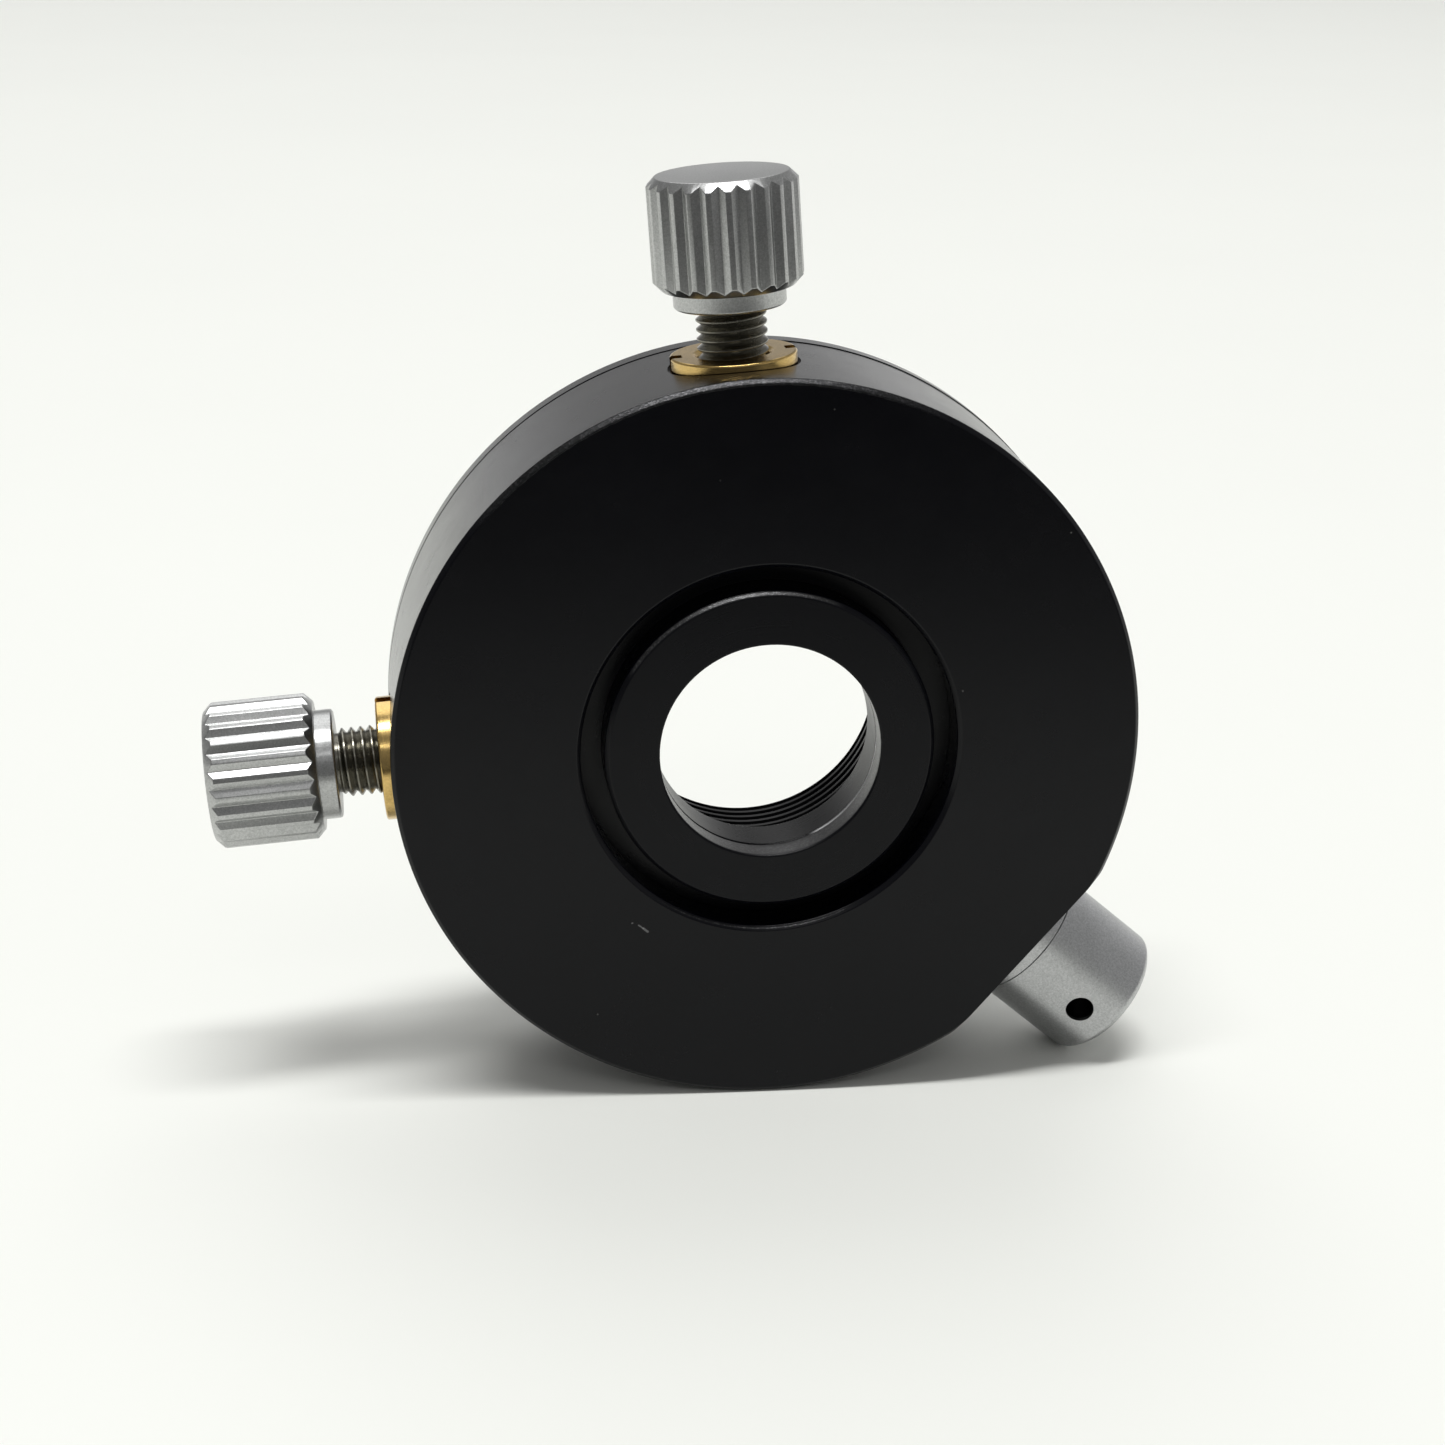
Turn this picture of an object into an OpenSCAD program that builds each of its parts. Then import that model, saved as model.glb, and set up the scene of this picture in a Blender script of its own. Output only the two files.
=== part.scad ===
// Two-axis centring mount for a small round lens.
// +Y is the optical axis, pointing to the back, and +Z is up.
// The origin is where the optical axis meets the two adjuster axes.

/* [Housing] */
// Diameter of the round housing
disc_d = 50.8; // [47:0.2:60]
// Distance from the adjuster axes to the front face
axis_to_front = 6.8; // [6.4:0.1:9]
// Distance from the adjuster axes to the joint with the rear cover
axis_to_cover = 5.8; // [5.4:0.1:8]
// Thickness of the wall behind the front face
front_wall_t = 2.9; // [1.8:0.1:3.2]
// Diameter of the cavity that the lens cell slides in
cavity_d = 39.2; // [38:0.1:40]
// Diameter of the round window in the front wall and in the cover
window_d = 25.6; // [25.4:0.1:27]
// Bevel on the window edges
window_bevel = 0.3; // [0.1:0.05:0.5]
// Distance from the optical axis to the flat that carries the plunger
plunger_flat = 24.2; // [23:0.1:24.8]
// Bevel on the outer edges
edge_bevel = 0.3; // [0.1:0.05:0.6]

/* [Rear cover] */
// Thickness of the rear cover
cover_t = 1.9; // [1.5:0.1:3]
// Bevel that leaves the fine line between cover and housing
seam_bevel = 0.12; // [0.05:0.01:0.2]
// Diameter of the circle of cover screws
cover_screw_pcd = 45; // [44.4:0.1:46]
// Thread diameter of a cover screw
cover_screw_d = 2.5; // [2:0.1:3]
// Length of a cover screw, head included
cover_screw_len = 6; // [4:0.5:8]
// Diameter of its countersunk head
cover_head_d = 4.6; // [4:0.1:5]
// Width across flats of the hexagon socket in its head
cover_socket_af = 1.5; // [1.2:0.1:1.8]
// Depth of that socket
cover_socket_depth = 0.9; // [0.6:0.1:1.2]

/* [Post hole] */
// Bore of the tapped hole for a post, at its thread crests
post_hole_d = 3.3; // [2.5:0.1:4.2]
// Depth of that hole
post_hole_depth = 4.8; // [3:0.1:5]

/* [Lens cell] */
// Diameter of the two short noses that show in the windows
nose_d = 22.4; // [22:0.1:22.6]
// Bevel on the nose edges
nose_bevel = 0.3; // [0.1:0.05:0.5]
// Diameter of the flange that slides between the walls
flange_d = 34; // [33:0.1:35]
// Distance from the optical axis to the flats that are pushed on
push_flat = 15; // [14.6:0.1:15.2]
// Diameter of the clear aperture in front of the lens
aperture_d = 15; // [13:0.1:16]
// Depth of the lens shoulder behind the front face
seat_depth = 5.4; // [4.5:0.1:6]
// Diameter of the bore that holds the lens
lens_bore_d = 19.1; // [18:0.1:19.6]
// Distance between the light-trap grooves in that bore
groove_pitch = 0.92; // [0.75:0.01:1.2]
// Width of a light-trap groove at the bore
groove_w = 0.66; // [0.4:0.02:0.7]
// Depth of a light-trap groove
groove_depth = 0.45; // [0.2:0.05:0.5]
// Number of light-trap grooves
groove_count = 5; // [1:1:6]
// Distance from the front face to the fine ring line in the aperture
ring_line_depth = 1.9; // [1:0.1:3]
// Width of that ring line
ring_line_w = 0.3; // [0.1:0.05:0.5]

/* [Adjusters] */
// Outer diameter of the adjuster thread
screw_d = 4.76; // [4:0.02:5]
// Distance from a bushing's face to the collar of its knob
knob_standoff = 3.15; // [2:0.05:5]
// Depth of the bushing's seat below the housing's round side
bushing_seat_depth = 0.6; // [0.4:0.05:1]
// Diameter of the bushing's flange
bushing_flange_d = 8.5; // [7.6:0.1:9.4]
// Thickness of the bushing's flange
bushing_flange_t = 1.1; // [0.7:0.05:1.6]
// Diameter of the bushing's body in the housing
bushing_body_d = 6.8; // [6.2:0.1:7.4]
// Width of a spanner notch in the flange
notch_w = 0.9; // [0.5:0.05:1.4]
// Depth of a spanner notch
notch_depth = 0.55; // [0.3:0.05:0.8]
// Diameter of a tip ball
ball_d = 3; // [2.4:0.1:3.2]
// Diameter of a hardened pad under a ball
pad_d = 6; // [5.4:0.1:7]
// Thickness of such a pad
pad_t = 1.2; // [0.8:0.1:1.6]
// Height of the pad above the cell's flat
pad_proud = 0.2; // [0.1:0.05:0.5]

/* [Knobs] */
// Diameter over the flutes
knob_d = 10; // [9:0.1:14]
// Length of the fluted part
knob_len = 7.4; // [6:0.1:14]
// Bevel on the knob's two ends
knob_bevel = 0.62; // [0.4:0.02:0.9]
// Diameter of the collar under the knob
collar_d = 7.5; // [6:0.1:8.4]
// Length of the collar
collar_len = 1.25; // [0.8:0.05:3]
// Bevel on the collar's edge
collar_bevel = 0.2; // [0.1:0.05:0.3]
// Number of flutes
flute_count = 24; // [16:1:28]
// Width of a flute at the outside
flute_w = 0.74; // [0.4:0.02:0.8]
// Depth of a flute
flute_depth = 0.6; // [0.3:0.02:0.7]
// Diameter of the screw's plain shank in the knob
shank_d = 4; // [3:0.1:4.4]
// Depth of the bore that takes the shank
shank_depth = 5; // [3:0.1:5.6]

/* [Spring plunger] */
// Diameter of the plunger barrel
barrel_d = 10; // [9:0.1:10.8]
// Length of the barrel outside its lock ring
barrel_len = 8.3; // [6.5:0.1:14]
// Bevel on the barrel's end
barrel_bevel = 0.5; // [0.2:0.05:0.8]
// Thickness of the lock ring between barrel and flat
lock_ring_t = 1.64; // [1:0.02:3]
// Diameter of the threaded stem in the housing
stem_d = 8; // [7.4:0.1:8.6]
// Diameter of the spring chamber
chamber_d = 5.5; // [5.3:0.1:6]
// Length of the rolled lip that holds the pin in
lip_len = 1.2; // [0.8:0.1:1.6]
// Diameter of the pin's nose
pin_d = 3.9; // [3.4:0.1:4.2]
// Length of the pin's head
pin_head_len = 1.5; // [1:0.1:2]
// Diameter of the cross hole for a tommy bar
tommy_d = 2; // [1.2:0.1:2.6]
// Distance of that hole from the barrel's end
tommy_inset = 3; // [2.2:0.1:3.4]
// Turn of that hole about the barrel
tommy_turn = 13; // [-40:1:40]
// Wire diameter of the plunger spring
wire_d = 0.45; // [0.3:0.05:0.5]
// Turns of the plunger spring
spring_turns = 6; // [4:1:6]

/* [Travel and clearance] */
// Travel of the cell each way from the centre
travel = 1; // [0.4:0.1:1]
// Radial clearance of a thread drawn plain
thread_clear = 0.03; // [0.02:0.01:0.06]
// Gap between the cell's flange and each wall
slide_clear = 0.05; // [0.03:0.01:0.1]
// Gap between a tip and the face that it pushes on
touch_clear = 0.03; // [0.02:0.01:0.05]
// Radial clearance of a ball in its socket and of the pin in its barrel
guide_clear = 0.05; // [0.03:0.01:0.08]

/* [Hidden] */

$fn = 96;
cut = 1;                 // how far a cutting shape runs past the face it cuts
half_turn = 180;
full_turn = 360;

// Places along the optical axis
front_y = -axis_to_front;
wall_y = front_y + front_wall_t;
cover_y = axis_to_cover;
rear_y = cover_y + cover_t;
seat_y = front_y + seat_depth;

// Radii about the optical axis
disc_r = disc_d / 2;
cavity_r = cavity_d / 2;
window_r = window_d / 2;
nose_r = nose_d / 2;
aperture_r = aperture_d / 2;
lens_bore_r = lens_bore_d / 2;

// Directions of the two adjusters and of the plunger, from +X towards +Z
x_dir = 180;
z_dir = 90;
plunger_dir = -45;
post_dir = -90;
cover_screw_dir = 22.5;
cover_screw_count = 4;
cover_head_sink = 0.05;  // how far the screw heads lie below the cover's face

// Places along an adjuster's own axis, outwards from the optical axis
bushing_seat = disc_r - bushing_seat_depth;
bushing_face = bushing_seat + bushing_flange_t;
bushing_inner = cavity_r + 0.4;
pad_face = push_flat + pad_proud;
ball_r = ball_d / 2;
ball_at = pad_face + touch_clear + ball_r;
ball_grip = 0.28 * ball_r;
screw_tip = ball_at - ball_grip;
collar_face = bushing_face + knob_standoff;
knob_base = collar_face + collar_len;
knob_top = knob_base + knob_len;
neck_len = 0.45;
thread_root_d = screw_d - 0.7;
seat_gap = 0.2;          // room round the bushing's flange in its seat

// Places along the plunger's axis, outwards from the optical axis
ring_face = plunger_flat + lock_ring_t;
barrel_end = ring_face + barrel_len;
stem_inner = cavity_r + 0.1;
lip_end = stem_inner + lip_len;
plunger_travel = travel * sqrt(2);
head_inner = lip_end + plunger_travel + 0.15;
head_outer = head_inner + pin_head_len;
chamber_end = barrel_end - tommy_inset - tommy_d / 2 - 1;
pin_r = pin_d / 2;
head_r = chamber_d / 2 - guide_clear;
pin_point = push_flat + touch_clear;
pin_dome_r = 1.25 * pin_d;
spring_r = head_r - wire_d / 2 - 0.1;

// Turns a piece drawn along +Z so that its +Z points outwards at angle dir
module outwards(dir) {
    rotate([0, 90 - dir, 0]) children();
}

// Turns a profile drawn as [radius, y] about the optical axis
module about_y(points) {
    rotate([-90, 0, 0]) rotate_extrude() polygon(points);
}

// Turns a profile drawn as [radius, height] about its own upright axis
module about_z(points) {
    rotate_extrude() polygon(points);
}

// Everything outside the plunger's flat
module beyond_flat() {
    outwards(plunger_dir)
        translate([-disc_r, -disc_r, plunger_flat]) cube([disc_d, disc_d, disc_r]);
}

// A cylinder along an outward axis, from one distance to another
module outward_rod(dir, from, to, d) {
    outwards(dir) translate([0, 0, from]) cylinder(h = to - from, d = d);
}

// Places a child at each cover screw's axis
module at_cover_screw(index) {
    angle = cover_screw_dir + (index - 1) * full_turn / cover_screw_count;
    translate([cos(angle) * cover_screw_pcd / 2, 0, sin(angle) * cover_screw_pcd / 2]) children();
}

// ---- Housing and rear cover ----

module housing() {
    color([0.09, 0.09, 0.10])
    difference() {
        about_y([
            [window_r + window_bevel, front_y],
            [disc_r - edge_bevel, front_y],
            [disc_r, front_y + edge_bevel],
            [disc_r, cover_y - seam_bevel],
            [disc_r - seam_bevel, cover_y],
            [cavity_r, cover_y],
            [cavity_r, wall_y],
            [window_r, wall_y],
            [window_r, front_y + window_bevel]
        ]);
        beyond_flat();
        bushing_hole(x_dir);
        bushing_hole(z_dir);
        outward_rod(plunger_dir, cavity_r - cut, plunger_flat + cut, stem_d + 2 * thread_clear);
        post_hole();
        for (index = [1 : cover_screw_count]) at_cover_screw(index) cover_screw_hole();
    }
}

// Seat and body hole of one bushing
module bushing_hole(dir) {
    outward_rod(dir, cavity_r - cut, disc_r + cut, bushing_body_d + 2 * thread_clear);
    outward_rod(dir, bushing_seat, disc_r + cut, bushing_flange_d + 2 * seat_gap);
}

// Blind tapped hole with a countersunk mouth
module post_hole() {
    floor_z = disc_r - post_hole_depth;
    mouth_r = post_hole_d / 2 + 0.4;
    outwards(post_dir) about_z([
        [0, floor_z],
        [post_hole_d / 2, floor_z],
        [post_hole_d / 2, disc_r - 0.4],
        [mouth_r, disc_r],
        [mouth_r, disc_r + cut],
        [0, disc_r + cut]
    ]);
}

// Tapped hole in the housing for one cover screw
module cover_screw_hole() {
    depth = cover_screw_len - cover_t + 0.4;
    about_y([
        [0, cover_y - depth],
        [cover_screw_d / 2 + thread_clear, cover_y - depth],
        [cover_screw_d / 2 + thread_clear, cover_y + cut],
        [0, cover_y + cut]
    ]);
}

module rear_cover() {
    head_r = cover_head_d / 2 + cover_head_sink + thread_clear;
    hole_r = cover_screw_d / 2 + 2 * thread_clear;
    color([0.09, 0.09, 0.10])
    difference() {
        about_y([
            [window_r, cover_y],
            [disc_r - seam_bevel, cover_y],
            [disc_r, cover_y + seam_bevel],
            [disc_r, rear_y - edge_bevel],
            [disc_r - edge_bevel, rear_y],
            [window_r + window_bevel, rear_y],
            [window_r, rear_y - window_bevel]
        ]);
        beyond_flat();
        for (index = [1 : cover_screw_count]) at_cover_screw(index) about_y([
            [0, cover_y - cut],
            [hole_r, cover_y - cut],
            [hole_r, rear_y - (head_r - hole_r)],
            [head_r, rear_y],
            [head_r, rear_y + cut],
            [0, rear_y + cut]
        ]);
    }
}

// Countersunk screw with a hexagon socket
module cover_screw(index) {
    shank_r = cover_screw_d / 2;
    head_r = cover_head_d / 2;
    socket_r = cover_socket_af / 2 / cos(30);
    color([0.16, 0.16, 0.17])
    at_cover_screw(index) difference() {
        about_y([
            [0, rear_y - cover_screw_len],
            [shank_r - 0.3, rear_y - cover_screw_len],
            [shank_r, rear_y - cover_screw_len + 0.3],
            [shank_r, rear_y - cover_head_sink - (head_r - shank_r)],
            [head_r, rear_y - cover_head_sink],
            [0, rear_y - cover_head_sink]
        ]);
        translate([0, rear_y - cover_socket_depth, 0])
            rotate([-90, 0, 0]) cylinder(h = cover_socket_depth + cut, r = socket_r, $fn = 6);
    }
}

// ---- Lens cell ----

module lens_cell() {
    color([0.11, 0.11, 0.12])
    difference() {
        about_y(concat(cell_outside(), cell_bore()));
        push_face(x_dir);
        push_face(z_dir);
        push_face(plunger_dir);
        pad_seat(x_dir);
        pad_seat(z_dir);
    }
}

// Front nose, flange and rear nose, from the front to the back
function cell_outside() = [
    [nose_r - nose_bevel, front_y],
    [nose_r, front_y + nose_bevel],
    [nose_r, wall_y + slide_clear],
    [flange_d / 2 - edge_bevel, wall_y + slide_clear],
    [flange_d / 2, wall_y + slide_clear + edge_bevel],
    [flange_d / 2, cover_y - slide_clear - edge_bevel],
    [flange_d / 2 - edge_bevel, cover_y - slide_clear],
    [nose_r, cover_y - slide_clear],
    [nose_r, rear_y - nose_bevel],
    [nose_r - nose_bevel, rear_y]
];

// Grooved lens bore, shoulder and clear aperture, from the back to the front
function cell_bore() = concat(
    [[lens_bore_r, rear_y]],
    [
        for (i = [0 : groove_count - 1], side = [-1 : 1])
        [
            lens_bore_r + (side == 0 ? groove_depth : 0),
            rear_y - groove_pitch * (0.5 + i) - groove_w / 2 * side
        ]
    ],
    [
        [lens_bore_r, seat_y],
        [aperture_r, seat_y],
        [aperture_r, front_y + ring_line_depth + ring_line_w],
        [aperture_r + ring_line_w / 2, front_y + ring_line_depth + ring_line_w / 2],
        [aperture_r, front_y + ring_line_depth],
        [aperture_r, front_y]
    ]
);

// Cuts a flat on the flange where a tip pushes, clear of the two noses
module push_face(dir) {
    depth = cover_y - wall_y;
    outwards(dir)
        translate([-flange_d / 2, wall_y - cut, push_flat]) cube([flange_d, depth + 2 * cut, flange_d / 2]);
}

// Round pocket for a hardened pad
module pad_seat(dir) {
    outward_rod(dir, pad_face - pad_t, push_flat + cut, pad_d);
}

module pad(dir) {
    color([0.62, 0.62, 0.64])
    outwards(dir) about_z([
        [0, pad_face - pad_t],
        [pad_d / 2, pad_face - pad_t],
        [pad_d / 2, pad_face - pad_proud / 2],
        [pad_d / 2 - pad_proud / 2, pad_face],
        [0, pad_face]
    ]);
}

// ---- Adjusters ----

// Threaded brass bushing with two spanner notches in line with the disc
module bushing(dir) {
    bore_r = screw_d / 2 + thread_clear;
    flange_r = bushing_flange_d / 2;
    color([0.72, 0.55, 0.28])
    outwards(dir) difference() {
        about_z([
            [bore_r, bushing_inner],
            [bushing_body_d / 2, bushing_inner],
            [bushing_body_d / 2, bushing_seat],
            [flange_r, bushing_seat],
            [flange_r, bushing_face - 0.1],
            [flange_r - 0.1, bushing_face],
            [bore_r + 0.25, bushing_face],
            [bore_r, bushing_face - 0.25]
        ]);
        for (side = [-1, 1])
            translate([side * flange_r - notch_depth, -notch_w / 2, bushing_seat - cut])
                cube([2 * notch_depth, notch_w, bushing_flange_t + 2 * cut]);
    }
}

module tip_ball(dir) {
    color([0.80, 0.80, 0.82])
    outwards(dir) translate([0, 0, ball_at]) sphere(d = ball_d);
}

// Fine-pitch screw: ball socket, threaded length, neck and shank
module adjuster_screw(dir) {
    tip_r = thread_root_d / 2;
    shank_r = shank_d / 2;
    color([0.30, 0.29, 0.28])
    outwards(dir) difference() {
        about_z([
            [0, screw_tip],
            [tip_r - 0.1, screw_tip],
            [tip_r, screw_tip + 0.1],
            [tip_r, screw_tip + ball_d],
            [screw_d / 2, screw_tip + ball_d + 0.35],
            [screw_d / 2, collar_face - neck_len],
            [tip_r, collar_face - neck_len + 0.2],
            [tip_r, collar_face],
            [shank_r, collar_face],
            [shank_r, collar_face + shank_depth],
            [0, collar_face + shank_depth]
        ]);
        translate([0, 0, ball_at]) sphere(r = ball_r + guide_clear);
    }
}

// Fluted knob with a plain collar, bored for the screw's shank
module knob(dir) {
    knob_r = knob_d / 2;
    collar_r = collar_d / 2;
    color([0.66, 0.66, 0.65])
    outwards(dir) difference() {
        about_z([
            [shank_d / 2, collar_face],
            [collar_r - collar_bevel, collar_face],
            [collar_r, collar_face + collar_bevel],
            [collar_r, knob_base],
            [knob_r - knob_bevel, knob_base],
            [knob_r, knob_base + knob_bevel],
            [knob_r, knob_top - knob_bevel],
            [knob_r - knob_bevel, knob_top],
            [0, knob_top],
            [0, collar_face + shank_depth],
            [shank_d / 2, collar_face + shank_depth]
        ]);
        for (i = [0 : flute_count - 1]) rotate([0, 0, i * full_turn / flute_count]) flute();
    }
}

// One V-shaped flute along the knob's side
module flute() {
    knob_r = knob_d / 2;
    flare = flute_w / 2 / flute_depth;
    outer_r = knob_r + cut;
    outer_w = flare * (flute_depth + cut);
    translate([0, 0, knob_base - cut / 2])
        linear_extrude(height = knob_len + cut)
            polygon([[knob_r - flute_depth, 0], [outer_r, -outer_w], [outer_r, outer_w]]);
}

// ---- Spring plunger ----

module plunger_lock_ring() {
    bore_r = stem_d / 2 + thread_clear;
    ring_r = barrel_d / 2;
    color([0.72, 0.72, 0.72])
    outwards(plunger_dir) about_z([
        [bore_r, plunger_flat],
        [ring_r - seam_bevel, plunger_flat],
        [ring_r, plunger_flat + seam_bevel],
        [ring_r, ring_face - seam_bevel],
        [ring_r - seam_bevel, ring_face],
        [bore_r, ring_face]
    ]);
}

// Barrel and threaded stem in one, hollow for the spring, with a rolled lip inside
module plunger_barrel() {
    outer_r = barrel_d / 2;
    lip_bore_r = pin_r + guide_clear;
    tommy_at = barrel_end - tommy_inset;
    color([0.72, 0.72, 0.72])
    outwards(plunger_dir) difference() {
        about_z([
            [lip_bore_r, stem_inner],
            [stem_d / 2 - 0.3, stem_inner],
            [stem_d / 2, stem_inner + 0.3],
            [stem_d / 2, ring_face],
            [outer_r - seam_bevel, ring_face],
            [outer_r, ring_face + seam_bevel],
            [outer_r, barrel_end - barrel_bevel],
            [outer_r - barrel_bevel, barrel_end],
            [0, barrel_end],
            [0, chamber_end],
            [chamber_d / 2, chamber_end],
            [chamber_d / 2, lip_end],
            [lip_bore_r, lip_end]
        ]);
        rotate([0, 0, tommy_turn]) translate([0, barrel_d, tommy_at])
            rotate([90, 0, 0]) cylinder(h = 2 * barrel_d, d = tommy_d);
    }
}

// Pin with a domed nose and a head that the lip holds in
module plunger_pin() {
    dome_rise = pin_dome_r - sqrt(pin_dome_r * pin_dome_r - pin_r * pin_r);
    color([0.62, 0.62, 0.64])
    outwards(plunger_dir) union() {
        intersection() {
            translate([0, 0, pin_point + pin_dome_r]) sphere(r = pin_dome_r);
            translate([0, 0, pin_point]) cylinder(h = 2 * dome_rise, r = pin_r);
        }
        about_z([
            [0, pin_point + dome_rise],
            [pin_r, pin_point + dome_rise],
            [pin_r, head_inner],
            [head_r, head_inner],
            [head_r, head_outer],
            [0, head_outer]
        ]);
    }
}

// Compression spring: a round wire swept along a helix
module plunger_spring() {
    steps = 20;
    sides = 8;
    first = head_outer + wire_d / 2;
    last = chamber_end - wire_d / 2;
    count = spring_turns * steps;
    rings = [
        for (i = [0 : count], k = [0 : sides - 1])
        let (
            turn = i * full_turn / steps,
            round_wire = k * full_turn / sides,
            reach = spring_r + wire_d / 2 * cos(round_wire)
        )
        [reach * cos(turn), reach * sin(turn), first + (last - first) * i / count + wire_d / 2 * sin(round_wire)]
    ];
    walls = [
        for (i = [0 : count - 1], k = [0 : sides - 1])
        let (next = (k + 1) % sides)
        [i * sides + k, i * sides + next, (i + 1) * sides + next, (i + 1) * sides + k]
    ];
    start_cap = [[for (k = [sides - 1 : -1 : 0]) k]];
    end_cap = [[for (k = [0 : sides - 1]) count * sides + k]];
    color([0.55, 0.55, 0.56])
    outwards(plunger_dir)
        polyhedron(points = rings, faces = concat(walls, start_cap, end_cap));
}

housing();
rear_cover();
cover_screw(1);  // cover_screw_1
cover_screw(2);  // cover_screw_2
cover_screw(3);  // cover_screw_3
cover_screw(4);  // cover_screw_4
lens_cell();
pad(x_dir);  // x_pad
pad(z_dir);  // z_pad
bushing(x_dir);  // x_bushing
tip_ball(x_dir);  // x_ball
adjuster_screw(x_dir);  // x_screw
knob(x_dir);  // x_knob
bushing(z_dir);  // z_bushing
tip_ball(z_dir);  // z_ball
adjuster_screw(z_dir);  // z_screw
knob(z_dir);  // z_knob
plunger_lock_ring();
plunger_barrel();
plunger_spring();
plunger_pin();
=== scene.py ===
"""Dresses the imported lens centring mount: its finished surfaces, finishes, floor, light and camera.

Sizes in this file are millimetres, and a surface is turned into metres where its mesh is made.
+Y is the optical axis, towards the back, +Z is up, and the origin is on the optical axis in the
plane of the two adjusters, as in the frame. A piece is drawn in its own axes, z along the line
that it turns about, and each piece stands for one CAD node and rides on that node's body.
"""

import logging
import math
from dataclasses import dataclass
from enum import Enum

import bmesh
import bpy
import numpy as np
from mathutils import Matrix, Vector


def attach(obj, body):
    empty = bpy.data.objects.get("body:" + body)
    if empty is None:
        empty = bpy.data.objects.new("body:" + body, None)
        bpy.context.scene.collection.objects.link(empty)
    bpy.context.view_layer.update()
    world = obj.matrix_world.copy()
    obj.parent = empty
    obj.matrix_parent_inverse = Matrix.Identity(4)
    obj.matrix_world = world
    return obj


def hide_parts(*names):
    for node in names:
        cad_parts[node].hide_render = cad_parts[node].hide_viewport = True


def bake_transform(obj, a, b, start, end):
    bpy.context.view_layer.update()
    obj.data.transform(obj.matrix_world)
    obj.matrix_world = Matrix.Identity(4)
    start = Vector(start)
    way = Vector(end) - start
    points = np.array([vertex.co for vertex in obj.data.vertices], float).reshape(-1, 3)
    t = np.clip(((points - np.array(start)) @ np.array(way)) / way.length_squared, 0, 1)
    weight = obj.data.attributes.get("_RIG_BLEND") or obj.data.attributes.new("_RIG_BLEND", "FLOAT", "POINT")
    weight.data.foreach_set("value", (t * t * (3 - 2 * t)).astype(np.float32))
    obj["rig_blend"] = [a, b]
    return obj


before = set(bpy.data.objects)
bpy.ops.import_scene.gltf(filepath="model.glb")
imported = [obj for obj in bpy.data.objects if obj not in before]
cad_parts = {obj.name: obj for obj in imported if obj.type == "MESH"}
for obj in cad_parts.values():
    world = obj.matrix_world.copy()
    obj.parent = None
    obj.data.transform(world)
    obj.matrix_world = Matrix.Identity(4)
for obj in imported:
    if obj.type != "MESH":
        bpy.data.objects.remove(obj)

logging.basicConfig(level=logging.INFO, format="%(message)s")
log = logging.getLogger("mount")

MM = 0.001
FULL_TURN = 2 * math.pi
SMOOTH_LIMIT = math.radians(38)
MERGE_WITHIN = 2e-7  # metres
FLAT_REACH = 1.2  # radians either side of a flat's middle, past which it isn't met
OUT_OF_REACH = 99.0  # how far out a flat counts as lying there
ARC_FADE = 0.12  # in cosine, over which rubbing and painted highlight fade at the ends of their arc
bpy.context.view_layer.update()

Array = np.ndarray
Triple = tuple[float, float, float]
Object = bpy.types.Object
Material = bpy.types.Material
Node = bpy.types.Node
Socket = bpy.types.NodeSocket


# ---------------------------------------------------------------- surfaces


@dataclass(frozen=True)
class Axes:
    """Right-handed axes that a piece is drawn in, each as a direction in the frame."""

    x: Triple
    y: Triple
    z: Triple
    origin: Triple = (0.0, 0.0, 0.0)

    @classmethod
    def outwards(cls, degrees: float) -> "Axes":
        """Axes whose z leaves the optical axis at an angle, counted from +X towards +Z.

        Args:
            degrees: the angle.

        Returns:
            The axes, with y along the optical axis.
        """
        a = math.radians(degrees)
        return cls((math.sin(a), 0.0, -math.cos(a)), (0.0, 1.0, 0.0), (math.cos(a), 0.0, math.sin(a)))

    @classmethod
    def optical(cls, x: float = 0.0, z: float = 0.0) -> "Axes":
        """Axes whose z runs along the optical axis, through the point (x, 0, z)."""
        return cls((1.0, 0.0, 0.0), (0.0, 0.0, -1.0), (0.0, 1.0, 0.0), (x, 0.0, z))

    def place(self, local: Array) -> Array:
        """Puts points drawn in these axes into the frame: origin + x X + y Y + z Z."""
        return local @ np.array([self.x, self.y, self.z]) + np.array(self.origin)

    def crossing(self, turn: float, height: float) -> "Axes":
        """Axes of a hole that crosses this z at a height.

        Args:
            turn: the hole's turn about z, from y, in degrees.
            height: where it crosses z.

        Returns:
            Axes whose z runs along the hole.
        """
        a = math.radians(turn)
        x, y, z = (np.array(v) for v in (self.x, self.y, self.z))
        along = -math.sin(a) * x + math.cos(a) * y
        return Axes(tuple(z), tuple(np.cross(along, z)), tuple(along), tuple(z * height + np.array(self.origin)))


def evenly(count: int) -> Array:
    """Angles of a whole turn, both ends included, as count steps."""
    return np.linspace(0.0, FULL_TURN, count + 1)


def section(corners: list[tuple], columns: int) -> Array:
    """Stacks a section's corners over the columns of a turned surface.

    Args:
        corners: (radius, height) of each corner, where each may be a number or one value per column.
        columns: how many columns there are.

    Returns:
        An array of corners, columns and (radius, height).
    """
    spread = [np.stack([np.broadcast_to(value, columns) for value in corner], -1) for corner in corners]
    return np.stack(spread).astype(float)


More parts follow.
